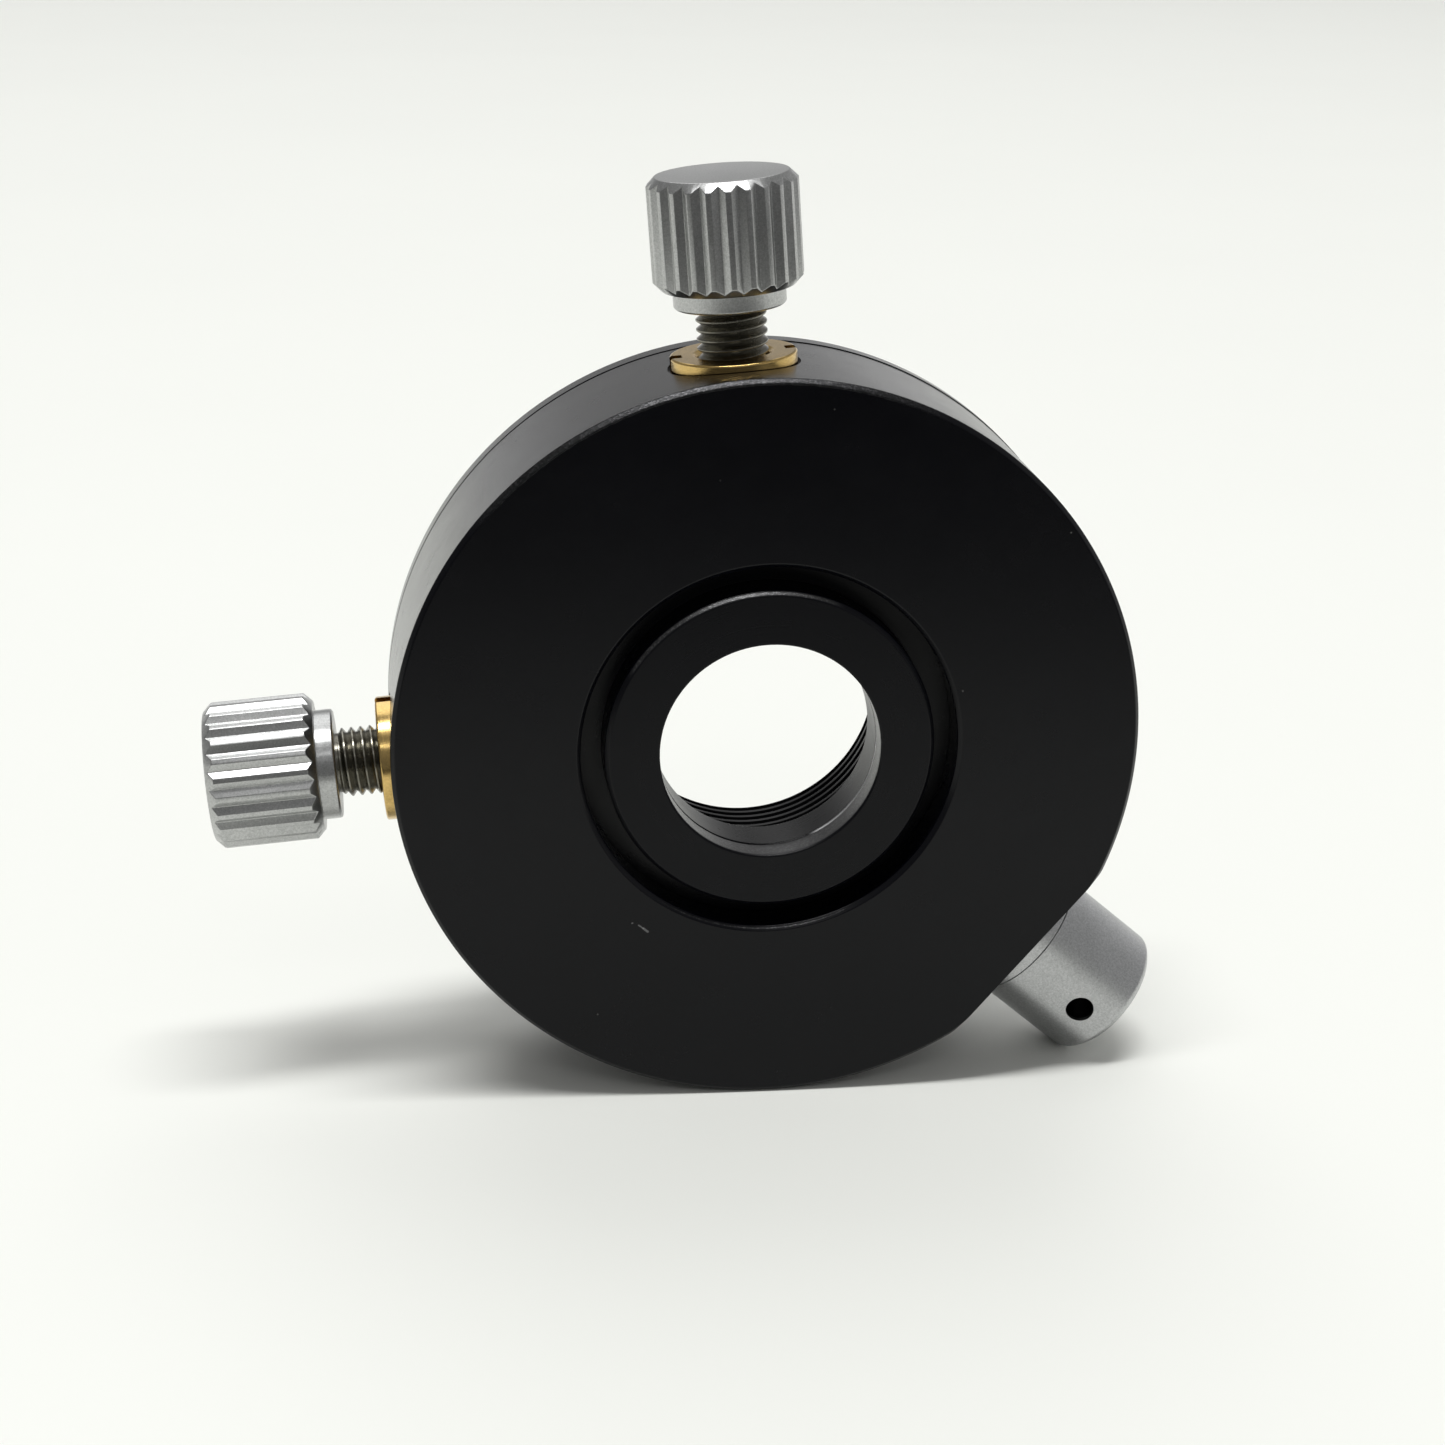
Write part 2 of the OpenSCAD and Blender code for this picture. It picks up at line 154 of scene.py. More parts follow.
def softened(corners: Array, radii: list[float] | Array, steps: int = 3, closed: bool = True) -> Array:
    """Rounds the corners of a run of points.

    A corner C is left at A and reached again at B, both t away from it along its two sides, and
    they are joined by (1-s)^2 A + 2 s (1-s) C + s^2 B. t is the corner's radius, or 0.45 of a shorter side.

    Args:
        corners: points as (corner, column, 2).
        radii: how far each corner is cut back.
        steps: pieces of each rounded corner.
        closed: whether the last point joins the first. If not, the two ends stay sharp.

    Returns:
        The rounded run, as (corner * (steps + 1), column, 2).
    """
    radii = np.array(radii, float)
    if not closed:
        radii[[0, -1]] = 0.0
    back, ahead = np.roll(corners, 1, 0) - corners, np.roll(corners, -1, 0) - corners
    far_back, far_ahead = (np.maximum(np.linalg.norm(side, axis=-1, keepdims=True), 1e-9) for side in (back, ahead))
    t = np.minimum(np.minimum(radii[:, None, None], 0.45 * far_back), 0.45 * far_ahead)
    start, end = corners + back / far_back * t, corners + ahead / far_ahead * t
    s = np.linspace(0.0, 1.0, steps + 1)[None, :, None, None]
    curve = (1 - s) ** 2 * start[:, None] + 2 * s * (1 - s) * corners[:, None] + s**2 * end[:, None]
    return curve.reshape(-1, corners.shape[1], 2)


def refined(rows: Array, step: float, closed: bool) -> Array:
    """Adds rows along a section's long sides, so that no row is taller than a step.

    Args:
        rows: the section, as (row, column, 2).
        step: the tallest row.
        closed: whether the last row joins the first.

    Returns:
        The section with the rows added.
    """
    nxt = np.roll(rows, -1, 0)
    parts = np.maximum(np.ceil(np.linalg.norm(nxt - rows, axis=-1).max(1) / step), 1).astype(int)
    if not closed:
        parts[-1] = 1
    side = np.repeat(np.arange(len(rows)), parts)
    share = (np.arange(len(side)) - np.repeat(np.cumsum(parts) - parts, parts)) / parts[side]
    return rows[side] + (nxt[side] - rows[side]) * share[:, None, None]


def turned(rows: Array, angles: Array) -> Array:
    """Turns a section about z: (r cos a, r sin a, h) at row (r, h) and column angle a.

    Args:
        rows: (row, column, 2), where the radius may change with the angle.
        angles: the angle of each column.

    Returns:
        Points as (row, column, 3).
    """
    r, h = rows[..., 0], rows[..., 1]
    return np.stack([r * np.cos(angles), r * np.sin(angles), h], -1)


def revolved(corners: list[tuple], angles: Array) -> Array:
    """Turns a section with sharp corners about z, as (row, column, 3)."""
    return turned(section(corners, len(angles)), angles)


def flatted(radius: float, flat: float, at: tuple, columns: int, fine: Array) -> tuple[Array, Array]:
    """Columns round a disc with flats, and how far out its flats lie.

    A flat lies at flat / cos(angle - its middle). Fine columns are added where it meets the disc.

    Args:
        radius: the disc's radius.
        flat: how far the flats are from the axis.
        at: each flat's middle, counted from +X towards +Z, in degrees.
        columns: even columns round the disc.
        fine: the fine columns' angles from a flat's end.

    Returns:
        The angle of each column, and the distance of the nearest flat there.
    """
    middles = -np.radians(at)  # the drawn y points down
    ends = (middles[:, None] + math.acos(flat / radius) * np.array([-1, 1])).ravel()
    added = (ends[:, None] + fine).ravel() % FULL_TURN
    angles = np.unique(np.round(np.concatenate([evenly(columns), added]), 9))  # rounded, so that none comes twice
    off = (angles - middles[:, None] + math.pi) % FULL_TURN - math.pi
    along = flat / np.cos(np.clip(off, -FLAT_REACH, FLAT_REACH))
    return angles, np.where(np.abs(off) < FLAT_REACH, along, OUT_OF_REACH).min(0)


def threaded(start: float, end: float, crest: float, root: float, pitch: float, angles: Array) -> Array:
    """A right-handed thread about z, as a grid that runs along the helix.

    Row i and column angle a lie at height start + pitch (i / n - 1 + a / 2 pi), held between start
    and end. The radius is root + (crest - root) V, where V rises and falls once in each n rows and
    fades out over half a pitch at either end, so that both ends are plain rings of the root radius.

    Args:
        start: height of the lower end.
        end: height of the upper end.
        crest: radius at the crests.
        root: radius at the roots.
        pitch: rise in a turn.
        angles: column angles over a whole turn, both ends included.

    Returns:
        Points as (row, column, 3).
    """
    n, root_flat, flank = 12, 0.06, 0.80
    i = np.arange(n * (math.ceil((end - start) / pitch) + 1) + 1)[:, None]
    height = np.clip(start + pitch * (i / n - 1 + angles[None, :] / FULL_TURN), start, end)
    share = np.clip((1 - np.abs(2 * ((i / n) % 1.0) - 1) - root_flat) / flank, 0.0, 1.0)
    ends = np.clip(np.minimum(height - start, end - height) / (pitch / 2), 0.0, 1.0)
    radius = root + (crest - root) * share * ends * ends * (3 - 2 * ends)
    return turned(np.stack([radius, height], -1), angles)


def made(name: str, grids: list[Array], axes: Axes, closed: bool = False) -> Object:
    """Makes one closed mesh from grids of points that meet along their edges.

    Each grid's faces run (i, j), (i, j+1), (i+1, j+1), (i+1, j), which point outwards where a
    section runs up its outer side. Points that coincide are then merged, which closes the seam
    of each turn, the poles on its axis, and the joints between the grids.

    Args:
        name: the object's name.
        grids: points as (row, column, 3), in millimetres.
        axes: the axes that the grids are drawn in.
        closed: whether each grid's last row joins its first.

    Returns:
        The object, in metres, at the origin.
    """
    points, faces, first = [], [], 0
    for grid in grids:
        if closed:
            grid = np.concatenate([grid, grid[:1]])
        n, m = grid.shape[:2]
        index = first + np.arange(n * m).reshape(n, m)
        faces.append(np.stack([index[:-1, :-1], index[:-1, 1:], index[1:, 1:], index[1:, :-1]], -1).reshape(-1, 4))
        points.append(axes.place(grid.reshape(-1, 3)) * MM)
        first += n * m
    mesh = bpy.data.meshes.new(name)
    mesh.from_pydata(np.concatenate(points), [], np.concatenate(faces))
    work = bmesh.new()
    work.from_mesh(mesh)
    bmesh.ops.remove_doubles(work, verts=work.verts, dist=MERGE_WITHIN)
    work.to_mesh(mesh)
    work.free()
    piece = bpy.data.objects.new(name, mesh)
    bpy.context.scene.collection.objects.link(piece)
    return piece


def lathed(
    name: str, corners: list[tuple], axes: Axes, angles: Array, row: float = math.inf, steps: int = 3,
    closed: bool = True,
) -> Object:
    """Turns a piece from its section, with rounded corners.

    Args:
        name: the object's name.
        corners: (radius, height, rounding) of each corner, up the outer side. The first two may change with the angle.
        axes: the axes that it is drawn in.
        angles: the angle of each column.
        row: the tallest row of its mesh.
        steps: pieces of each rounded corner.
        closed: whether the last corner joins the first. If not, both lie on the axis.

    Returns:
        The piece.
    """
    sharp, radii = [corner[:2] for corner in corners], [corner[2] for corner in corners]
    rows = refined(softened(section(sharp, len(angles)), radii, steps, closed), row, closed)
    return made(name, [turned(rows, angles)], axes, closed)


def rod(corners: list[tuple[float, float]], axes: Axes, columns: int = 96) -> Object:
    """A cutter turned from a section that starts and ends on z.

    Args:
        corners: (radius, height), up the outer side.
        axes: the axes that it is drawn in.
        columns: steps of its turn, so that 6 make a hexagon.

    Returns:
        The cutter, as a closed object.
    """
    return made("cutter", [revolved(corners, evenly(columns))], axes)


def drill(radius: float, low: float, high: float, axes: Axes, columns: int = 96) -> Object:
    """A plain round cutter of a radius, from low to high along z."""
    return rod([(0, low), (radius, low), (radius, high), (0, high)], axes, columns)


def box_cutter(low: Triple, high: Triple, axes: Axes) -> Object:
    """A cutter with four flat sides between two corners, drawn as a section of four columns.

    Args:
        low: its lowest corner.
        high: its highest corner.
        axes: the axes that it is drawn in.

    Returns:
        The cutter, as a closed object.
    """
    x = np.array([low[0], high[0], high[0], low[0], low[0]])
    y = np.array([low[1], low[1], high[1], high[1], low[1]])
    mid_x, mid_y = (low[0] + high[0]) / 2, (low[1] + high[1]) / 2
    rings = [(0.0, low[2]), (1.0, low[2]), (1.0, high[2]), (0.0, high[2])]
    rows = [np.stack([mid_x + s * (x - mid_x), mid_y + s * (y - mid_y), np.full(5, h)], -1) for s, h in rings]
    return made("cutter", [np.stack(rows)], axes)


def applied(piece: Object) -> None:
    """Gives a piece the mesh that its modifiers make of it.

    Args:
        piece: the piece, which is left without modifiers.
    """
    bpy.context.view_layer.update()
    result = bpy.data.meshes.new_from_object(piece.evaluated_get(bpy.context.evaluated_depsgraph_get()))
    piece.modifiers.clear()
    piece.data = result


def carved(piece: Object, cutters: list[Object]) -> None:
    """Takes closed cutters out of a piece and deletes them.

    Args:
        piece: the piece, whose mesh is replaced by the result.
        cutters: the closed objects to take out.
    """
    for cutter in cutters:
        cut = piece.modifiers.new("cut", "BOOLEAN")
        cut.operation, cut.solver, cut.object = "DIFFERENCE", "EXACT", cutter
    applied(piece)
    for cutter in cutters:
        bpy.data.objects.remove(cutter)


# ---------------------------------------------------------------- node groups


class Effect(Enum):
    """The shared node groups, by the name that each has in the file."""

    PLACE = "radius_turn_and_height"
    GRAIN = "blasted_grain"
    TURNING = "turning_marks"
    STREAKS = "drawn_streaks"
    WEAR = "ring_edge_wear_and_highlight"
    SCRATCH = "short_scratch"
    SMUDGE = "handling_smudge"
    DUST = "fine_dust"


class Graph:
    """A node tree under construction, with short calls for the nodes that finishes use."""

    def __init__(self, tree: bpy.types.NodeTree) -> None:
        """Starts on an empty tree."""
        self.tree = tree
        tree.nodes.clear()

    def node(self, kind: str, inputs: dict | None = None, **settings: object) -> Node:
        """Adds a node.

        Args:
            kind: the node's type name, without the ShaderNode in front.
            inputs: a socket's name or number, and the value or the socket that feeds it.
            **settings: the node's own properties.

        Returns:
            The node.
        """
        made_node = self.tree.nodes.new("ShaderNode" + kind if not kind.startswith("Node") else kind)
        for key, value in settings.items():
            setattr(made_node, key, value)
        for key, value in (inputs or {}).items():
            self.feed(made_node.inputs[key], value)
        return made_node

    def feed(self, socket: Socket, value: object) -> None:
        """Links a socket to another one, or sets its own value.

        Args:
            socket: the input.
            value: another socket, or the value.
        """
        if isinstance(value, Socket):
            self.tree.links.new(value, socket)
        else:
            socket.default_value = value

    def group(self, effect: Effect, inputs: dict) -> Node:
        """Puts a shared group into the tree."""
        return self.node("Group", inputs, node_tree=bpy.data.node_groups[effect.value])

    def math(self, operation: str, *values: object, clamp: bool = False) -> Socket:
        """One Math node's result, from numbers or sockets."""
        return self.node("Math", dict(enumerate(values)), operation=operation, use_clamp=clamp).outputs[0]

    def times(self, first: object, second: object, clamp: bool = False) -> Socket:
        """A product."""
        return self.math("MULTIPLY", first, second, clamp=clamp)

    def minus(self, first: object, second: object) -> Socket:
        """A difference."""
        return self.math("SUBTRACT", first, second)

    def length(self, x: Socket, y: Socket) -> Socket:
        """The root of x squared plus y squared."""
        return self.math("SQRT", self.math("ADD", self.times(x, x), self.times(y, y)))

    def about(self, value: Socket, middle: float, gain: object, level: object, clamp: bool = False) -> Socket:
        """Gain times (value - middle), plus a level."""
        return self.math("MULTIPLY_ADD", self.minus(value, middle), gain, level, clamp=clamp)

    def span(self, value: object, low: float, high: float, to_low: float = 0.0, to_high: float = 1.0) -> Socket:
        """Carries a value smoothly from low..high to to_low..to_high."""
        wanted = {"Value": value, "From Min": low, "From Max": high, "To Min": to_low, "To Max": to_high}
        return self.node("MapRange", wanted, interpolation_type="SMOOTHSTEP").outputs["Result"]

    def vector(self, operation: str, first: object, second: object) -> Node:
        """A Vector Math node on two vectors."""
        return self.node("VectorMath", {0: first, 1: second}, operation=operation)

    def scaled(self, vector: object, gain: Socket) -> Socket:
        """A vector or a colour times a number."""
        return self.node("VectorMath", {0: vector, 3: gain}, operation="SCALE").outputs[0]

    def noise(self, at: Socket, scale: object, detail: float, **more: float) -> Socket:
        """A noise's value, round one half."""
        return self.node("TexNoise", {"Vector": at, "Scale": scale, "Detail": detail, **more}).outputs[0]

    def blend(self, share: object, first: object, second: object) -> Socket:
        """A colour between two colours, by a share."""
        return self.node("Mix", {0: share, 6: first, 7: second}, data_type="RGBA").outputs[2]

    def between(self, share: object, first: object, second: object) -> Socket:
        """A value between two values, by a share."""
        return self.node("Mix", {0: share, 2: first, 3: second}, data_type="FLOAT").outputs[0]


def new_material(name: str) -> tuple[Material, Graph]:
    """Starts a material.

    Args:
        name: its name.

    Returns:
        The material, and the graph to build it in.
    """
    material = bpy.data.materials.new(name)
    material.use_nodes = True
    return material, Graph(material.node_tree)


class Group(Graph):
    """A shared node group under construction, with its inputs' sockets in given, by name."""

    def __init__(self, effect: Effect, inputs: dict[str, float | None], outputs: tuple[str, ...]) -> None:
        """Starts a group.

        Args:
            effect: which group it is.
            inputs: each input's name, with its starting value, or None for a vector.
            outputs: the names of the values that it gives.
        """
        super().__init__(bpy.data.node_groups.new(effect.value, "ShaderNodeTree"))
        new_socket = self.tree.interface.new_socket
        for name, start in inputs.items():
            if start is None:
                new_socket(name, in_out="INPUT", socket_type="NodeSocketVector")
            else:
                new_socket(name, in_out="INPUT", socket_type="NodeSocketFloat").default_value = start
        for name in outputs:
            new_socket(name, in_out="OUTPUT", socket_type="NodeSocketFloat")
        self.given = self.node("NodeGroupInput").outputs
        self.results = self.node("NodeGroupOutput").inputs

    def give(self, **values: Socket) -> None:
        """Links values to the group's outputs, by name."""
        for name, value in values.items():
            self.feed(self.results[name], value)


def place_group() -> None:
    """Radius, turn and height of a point given in a piece's own axes, in millimetres."""
    g = Group(Effect.PLACE, {"Vector": None}, ("Radius", "Turn", "Height"))
    x, y, z = g.node("SeparateXYZ", {0: g.given["Vector"]}).outputs
    g.give(Radius=g.length(x, y), Turn=g.math("ARCTAN2", y, x), Height=z)


def grain_group() -> None:
    """Fine pits of a blasted or etched skin: two noises, one of them 2.3 times as fine."""
    g = Group(Effect.GRAIN, {"Vector": None, "Size": 0.12, "Contrast": 0.5}, ("Value", "Height"))
    at, scale = g.given["Vector"], g.math("DIVIDE", 1.0, g.given["Size"])
    coarse, fine = g.noise(at, scale, 3.0, Roughness=0.6), g.noise(at, g.times(scale, 2.3), 1.0)
    both = g.math("ADD", g.times(coarse, 0.6), g.times(fine, 0.4))
    g.give(Height=both, Value=g.about(both, 0.5, g.times(g.given["Contrast"], 3.0), 0.5, clamp=True))


def turning_group() -> None:
    """Marks left by turning: noise over radius and height alone, so that each mark is a whole ring."""
    g = Group(Effect.TURNING, {"Radius": 0.0, "Height": 0.0, "Spacing": 0.1}, ("Value", "Height"))
    at = g.node("CombineXYZ", {0: g.given["Radius"], 1: g.given["Height"]}).outputs[0]
    scale = g.math("DIVIDE", 1.0, g.given["Spacing"])
    rings, broad = g.noise(at, scale, 4.0, Roughness=0.7), g.noise(at, g.times(scale, 0.18), 1.0)
    g.give(Height=rings, Value=g.math("ADD", g.times(rings, 0.55), g.times(broad, 0.45)))


def streaks_group() -> None:
    """Streaks along z, as broaching or drawing leaves them: noise stretched along z."""
    g = Group(Effect.STREAKS, {"Vector": None, "Width": 0.08, "Stretch": 20.0}, ("Value", "Height"))
    scale = g.math("DIVIDE", 1.0, g.given["Width"])
    scales = {0: scale, 1: scale, 2: g.math("DIVIDE", scale, g.given["Stretch"])}
    at = g.vector("MULTIPLY", g.given["Vector"], g.node("CombineXYZ", scales).outputs[0]).outputs[0]
    noise = g.noise(at, 1.0, 3.0, Roughness=0.65)
    g.give(Height=noise, Value=noise)


def wear_and_highlight_group() -> None:
    """Rubbing on one ring-shaped edge, and painted highlight where its arc is kept to the part that light catches:
    nearness to the circle of that radius and height, full over the inner half of the width and broken up by noise, over
    an arc that runs from Middle until the cosine has fallen to Least cosine."""
    starts = {"Vector": None, "Radius": 0.0, "Turn": 0.0, "Height": 0.0, "Edge radius": 25.0, "Edge height": 0.0}
    starts |= {"Width": 0.3, "Ragged": 0.5, "Middle": 0.0, "Least cosine": -2.0}
    g = Group(Effect.WEAR, starts, ("Mask",))
    given = g.given
    far = g.length(g.minus(given["Radius"], given["Edge radius"]), g.minus(given["Height"], given["Edge height"]))
    uneven = g.minus(g.noise(given["Vector"], 2.2, 5.0, Roughness=0.7), 0.5)
    ragged = g.times(uneven, g.times(given["Ragged"], 2.0))
    reach = g.times(given["Width"], g.math("ADD", 1.0, ragged))
    near = g.times(g.minus(1.0, g.math("DIVIDE", far, reach)), 2.0, clamp=True)
    cosine = g.math("COSINE", g.minus(given["Turn"], given["Middle"]))
    g.give(Mask=g.times(near, g.span(g.minus(cosine, given["Least cosine"]), 0.0, ARC_FADE)))


def scratch_group() -> None:
    """A short straight scratch: nearness to the closest point of the line from Start along Along."""
    g = Group(Effect.SCRATCH, {"Vector": None, "Start": None, "Along": None, "Width": 0.1}, ("Mask",))
    along = g.given["Along"]
    off = g.vector("SUBTRACT", g.given["Vector"], g.given["Start"]).outputs[0]
    dot, whole = (g.vector("DOT_PRODUCT", vector, along).outputs["Value"] for vector in (off, along))
    reached = g.scaled(along, g.math("DIVIDE", dot, whole, clamp=True))
    far = g.vector("DISTANCE", off, reached).outputs["Value"]
    g.give(Mask=g.times(g.minus(1.0, g.math("DIVIDE", far, g.given["Width"])), 1.5, clamp=True))


def smudge_group() -> None:
    """Broad soft patches where hands have touched: two slow noises multiplied."""
    g = Group(Effect.SMUDGE, {"Vector": None, "Size": 9.0}, ("Value",))
    at, scale = g.given["Vector"], g.math("DIVIDE", 1.0, g.given["Size"])
    one, two = g.noise(at, scale, 3.0, Distortion=0.6), g.noise(at, g.times(scale, 3.1), 4.0)
    g.give(Value=g.math("MULTIPLY_ADD", g.times(one, two), 3.0, -0.25, clamp=True))


def dust_group() -> None:
    """Scattered specks: round cells of which only a few, chosen by their own random value, are kept."""
    g = Group(Effect.DUST, {"Vector": None, "Spacing": 1.1, "Share": 0.12}, ("Mask",))
    scale = g.math("DIVIDE", 1.0, g.given["Spacing"])
    cells = g.node("TexVoronoi", {"Vector": g.given["Vector"], "Scale": scale}).outputs
    near = g.span(cells["Distance"], 0.03, 0.09, 1.0, 0.0)
    pick = g.node("SeparateColor", {0: cells["Color"]}).outputs[0]
    g.give(Mask=g.times(near, g.math("LESS_THAN", pick, g.given["Share"])))


GROUP_MAKERS = (
    place_group, grain_group, turning_group, streaks_group, wear_and_highlight_group, scratch_group, smudge_group, dust_group,
)


# ---------------------------------------------------------------- finishes


@dataclass(frozen=True)
class Pattern:
    """A pattern in a surface: its size and depth in millimetres, and how far it tints the colour."""

    size: float
    depth: float
    tint: float


@dataclass(frozen=True)
class Edge:
    """A ring-shaped edge that shows rubbed metal, in a piece's own axes: wear, and painted highlight where its arc is
    kept to the part that light catches.

    Width is how far the rubbed colour reaches and ragged how uneven it is. All of the ring shows it, or reach
    degrees either way of middle.
    """

    radius: float
    height: float
    width: float
    ragged: float
    middle: float = 0.0
    reach: float = 180.0


@dataclass(frozen=True)
class Scratch:
    """A short scratch down to bare metal, in a piece's own axes."""

    start: Triple
    along: Triple
    width: float
    strength: float = 0.15


@dataclass(frozen=True)
class ShadedHole:
    """A cross hole whose wall is painted dark as shade: the radius inside which it is painted dark, its height, and
    half its width.
    """

    inside: float
    height: float
    half: float


@dataclass(frozen=True)
class Finish:
    """A metal finish. Each field is a length in millimetres, a share, a linear colour or a pattern."""

    name: str
    colour: Triple
    varied: Triple
    metallic: float = 1.0
    specular: float = 0.5
    rough: float = 0.3
    rough_spread: float = 0.08
    grain: Pattern | None = None
    rings: Pattern | None = None
    streaks: Pattern | None = None
    patch_size: float = 5.0
    dust: float = 0.0
    dust_cover: float = 0.35
    dust_colour: Triple = (0.20, 0.20, 0.19)
    # colours of rubbed edges: wear, and painted highlight on arcs kept to where light catches an edge
    wear_and_highlight: Triple = (0.35, 0.35, 0.36)
    wear_and_highlight_metallic: float = 0.8
    wear_and_highlight_rough: float = 0.35
    # bare metal: real scratches, and also a painted highlight line
    bare: Triple = (0.85, 0.85, 0.86)
    edge_grit: float = 0.0
    grit_size: float = 0.20
    sparkle: float = 1.7
    # painted shade inside a cross hole
    hole_shade_colour: Triple = (0.02, 0.02, 0.02)
    grazing: float = 0.0
    grazing_rough: float = 0.22

    @staticmethod
    def place(g: Graph, axes: Axes) -> dict[str, Socket]:
        """A point in the piece's own axes, in millimetres, and its radius, turn and height.

        Args:
            g: the material's graph.
            axes: the piece's axes.

        Returns:
            Their sockets, by the names that the shared groups give them.
        """
        to_local = np.array([axes.x, axes.y, axes.z])
        shift = -to_local @ np.array(axes.origin)
        wanted = {"Vector": g.node("TexCoord").outputs["Object"], "Scale": (1 / MM,) * 3, "Location": tuple(shift)}
        wanted["Rotation"] = tuple(Matrix(to_local.tolist()).to_euler())
        point = g.node("Mapping", wanted, vector_type="POINT").outputs[0]
        return {"Vector": point} | {socket.name: socket for socket in g.group(Effect.PLACE, {"Vector": point}).outputs}

    @staticmethod
    def wear_and_highlight_mask(g: Graph, where: dict[str, Socket], edges: tuple[Edge, ...]) -> Socket | None:
        """The strongest of some edges' wear and painted highlight at each point.

        Args:
            g: the material's graph.
            where: the point's sockets, as place gives them.
            edges: the edges.

        Returns:
            The mask, from 0 to 1, or None without edges.
        """
        strongest = None
        for edge in edges:
            wanted = where | {"Edge radius": edge.radius, "Edge height": edge.height, "Width": edge.width}
            wanted |= {"Ragged": edge.ragged, "Middle": math.radians(edge.middle)}
            wanted |= {"Least cosine": math.cos(math.radians(edge.reach)) - ARC_FADE}
            mask = g.group(Effect.WEAR, wanted).outputs["Mask"]
            strongest = mask if strongest is None else g.math("MAXIMUM", strongest, mask)
        return strongest

    def material(
        self, suffix: str, axes: Axes, edges: tuple[Edge, ...] = (), marks: tuple = (), hole: ShadedHole | None = None
    ) -> Material:
        """Builds the finish as a material for a piece drawn in some axes.

        Args:
            suffix: what the material's name ends in.
            axes: the piece's axes, which the patterns follow.
            edges: the ring-shaped edges that show wear, and painted highlight on the arcs where light catches them.
            marks: the edges and scratches that are down to bare metal; an edge among them may be a painted highlight
                line.
            hole: a cross hole whose wall is painted dark as shade.

        Returns:
            The material.
        """
        result, g = new_material(f"{self.name}_{suffix}")
        where = self.place(g, axes)
        point, radius, height = where["Vector"], where["Radius"], where["Height"]
        smudge = g.group(Effect.SMUDGE, {"Vector": point}).outputs[0]
        colour = g.blend(smudge, (*self.colour, 1), (*self.varied, 1))
        smudge = g.group(Effect.SMUDGE, {"Vector": point, "Size": self.patch_size}).outputs[0]
        rough = g.about(smudge, 0.4, self.rough_spread, self.rough)
        metallic: object = self.metallic
        heights: list[tuple[Socket, float]] = []
        for pattern, effect, size, inputs in (
            (self.grain, Effect.GRAIN, "Size", {"Vector": point, "Contrast": 0.8}),
            (self.rings, Effect.TURNING, "Spacing", {"Radius": radius, "Height": height}),
            (self.streaks, Effect.STREAKS, "Width", {"Vector": point}),
        ):
            if pattern is None:
                continue
            drawn = g.group(effect, inputs | {size: pattern.size}).outputs
            if pattern.tint:
                colour = g.scaled(colour, g.about(drawn["Value"], 0.5, 2 * pattern.tint, 1.0))
            if effect is Effect.TURNING:
                rough = g.about(drawn["Value"], 0.5, self.rough_spread * 2, rough)
            heights.append((drawn["Height"], pattern.depth))
        # rubbed-metal colour on edges: wear, and painted highlight on arcs kept to where light catches an edge
        wear_and_highlight = self.wear_and_highlight_mask(g, where, edges)
        if wear_and_highlight is not None:
            grit = g.group(Effect.GRAIN, {"Vector": point, "Size": self.grit_size, "Contrast": 1.0}).outputs
            heights.append((g.times(grit["Height"], g.times(wear_and_highlight, 2.0, clamp=True)), self.edge_grit))
            rubbed_and_lit = g.scaled(self.wear_and_highlight, g.span(grit["Value"], 0.4, 0.95, 0.8, self.sparkle))
            colour = g.blend(wear_and_highlight, colour, rubbed_and_lit)
            rough = g.between(wear_and_highlight, rough, self.wear_and_highlight_rough)
            metallic = g.between(wear_and_highlight, metallic, self.wear_and_highlight_metallic)
        if self.dust:
            specks = g.group(Effect.DUST, {"Vector": point, "Share": self.dust}).outputs[0]
            colour = g.blend(g.times(specks, self.dust_cover), colour, (*self.dust_colour, 1))
        # bare-metal colour: real scratches, and painted highlight lines
        for mark in marks:
            if isinstance(mark, Edge):
                mask = self.wear_and_highlight_mask(g, where, (mark,))
            else:
                line = {"Vector": point, "Start": mark.start, "Along": mark.along, "Width": mark.width}
                mask = g.times(g.group(Effect.SCRATCH, line).outputs[0], mark.strength)
            colour = g.blend(mask, colour, (*self.bare, 1))
            metallic = g.between(mask, metallic, 1.0)
        # painted shade: the wall of the cross hole is coloured dark
        if hole:
            level = g.math("LESS_THAN", g.math("ABSOLUTE", g.minus(height, hole.height)), hole.half)
            inside = g.times(level, g.math("LESS_THAN", radius, hole.inside))
            colour = g.blend(inside, colour, (*self.hole_shade_colour, 1))
        wanted = {"Base Color": colour, "Metallic": metallic, "Roughness": rough, "Specular IOR Level": self.specular}
        if self.grazing:
            facing = g.node("LayerWeight", {"Blend": 0.5}).outputs["Facing"]
            wanted["Coat Weight"] = g.span(facing, 0.45, 0.75, 0.0, self.grazing)
            wanted["Coat Roughness"] = self.grazing_rough
        normal: dict[str, Socket] = {}
        for value, depth in heights:
            if depth:
                bump = g.node("Bump", {"Height": value, "Distance": depth * MM, "Strength": 1.0} | normal)
                normal = {"Normal": bump.outputs[0]}
        shader = g.node("BsdfPrincipled", wanted | normal)
        g.node("OutputMaterial", {"Surface": shader.outputs[0]})
        return result


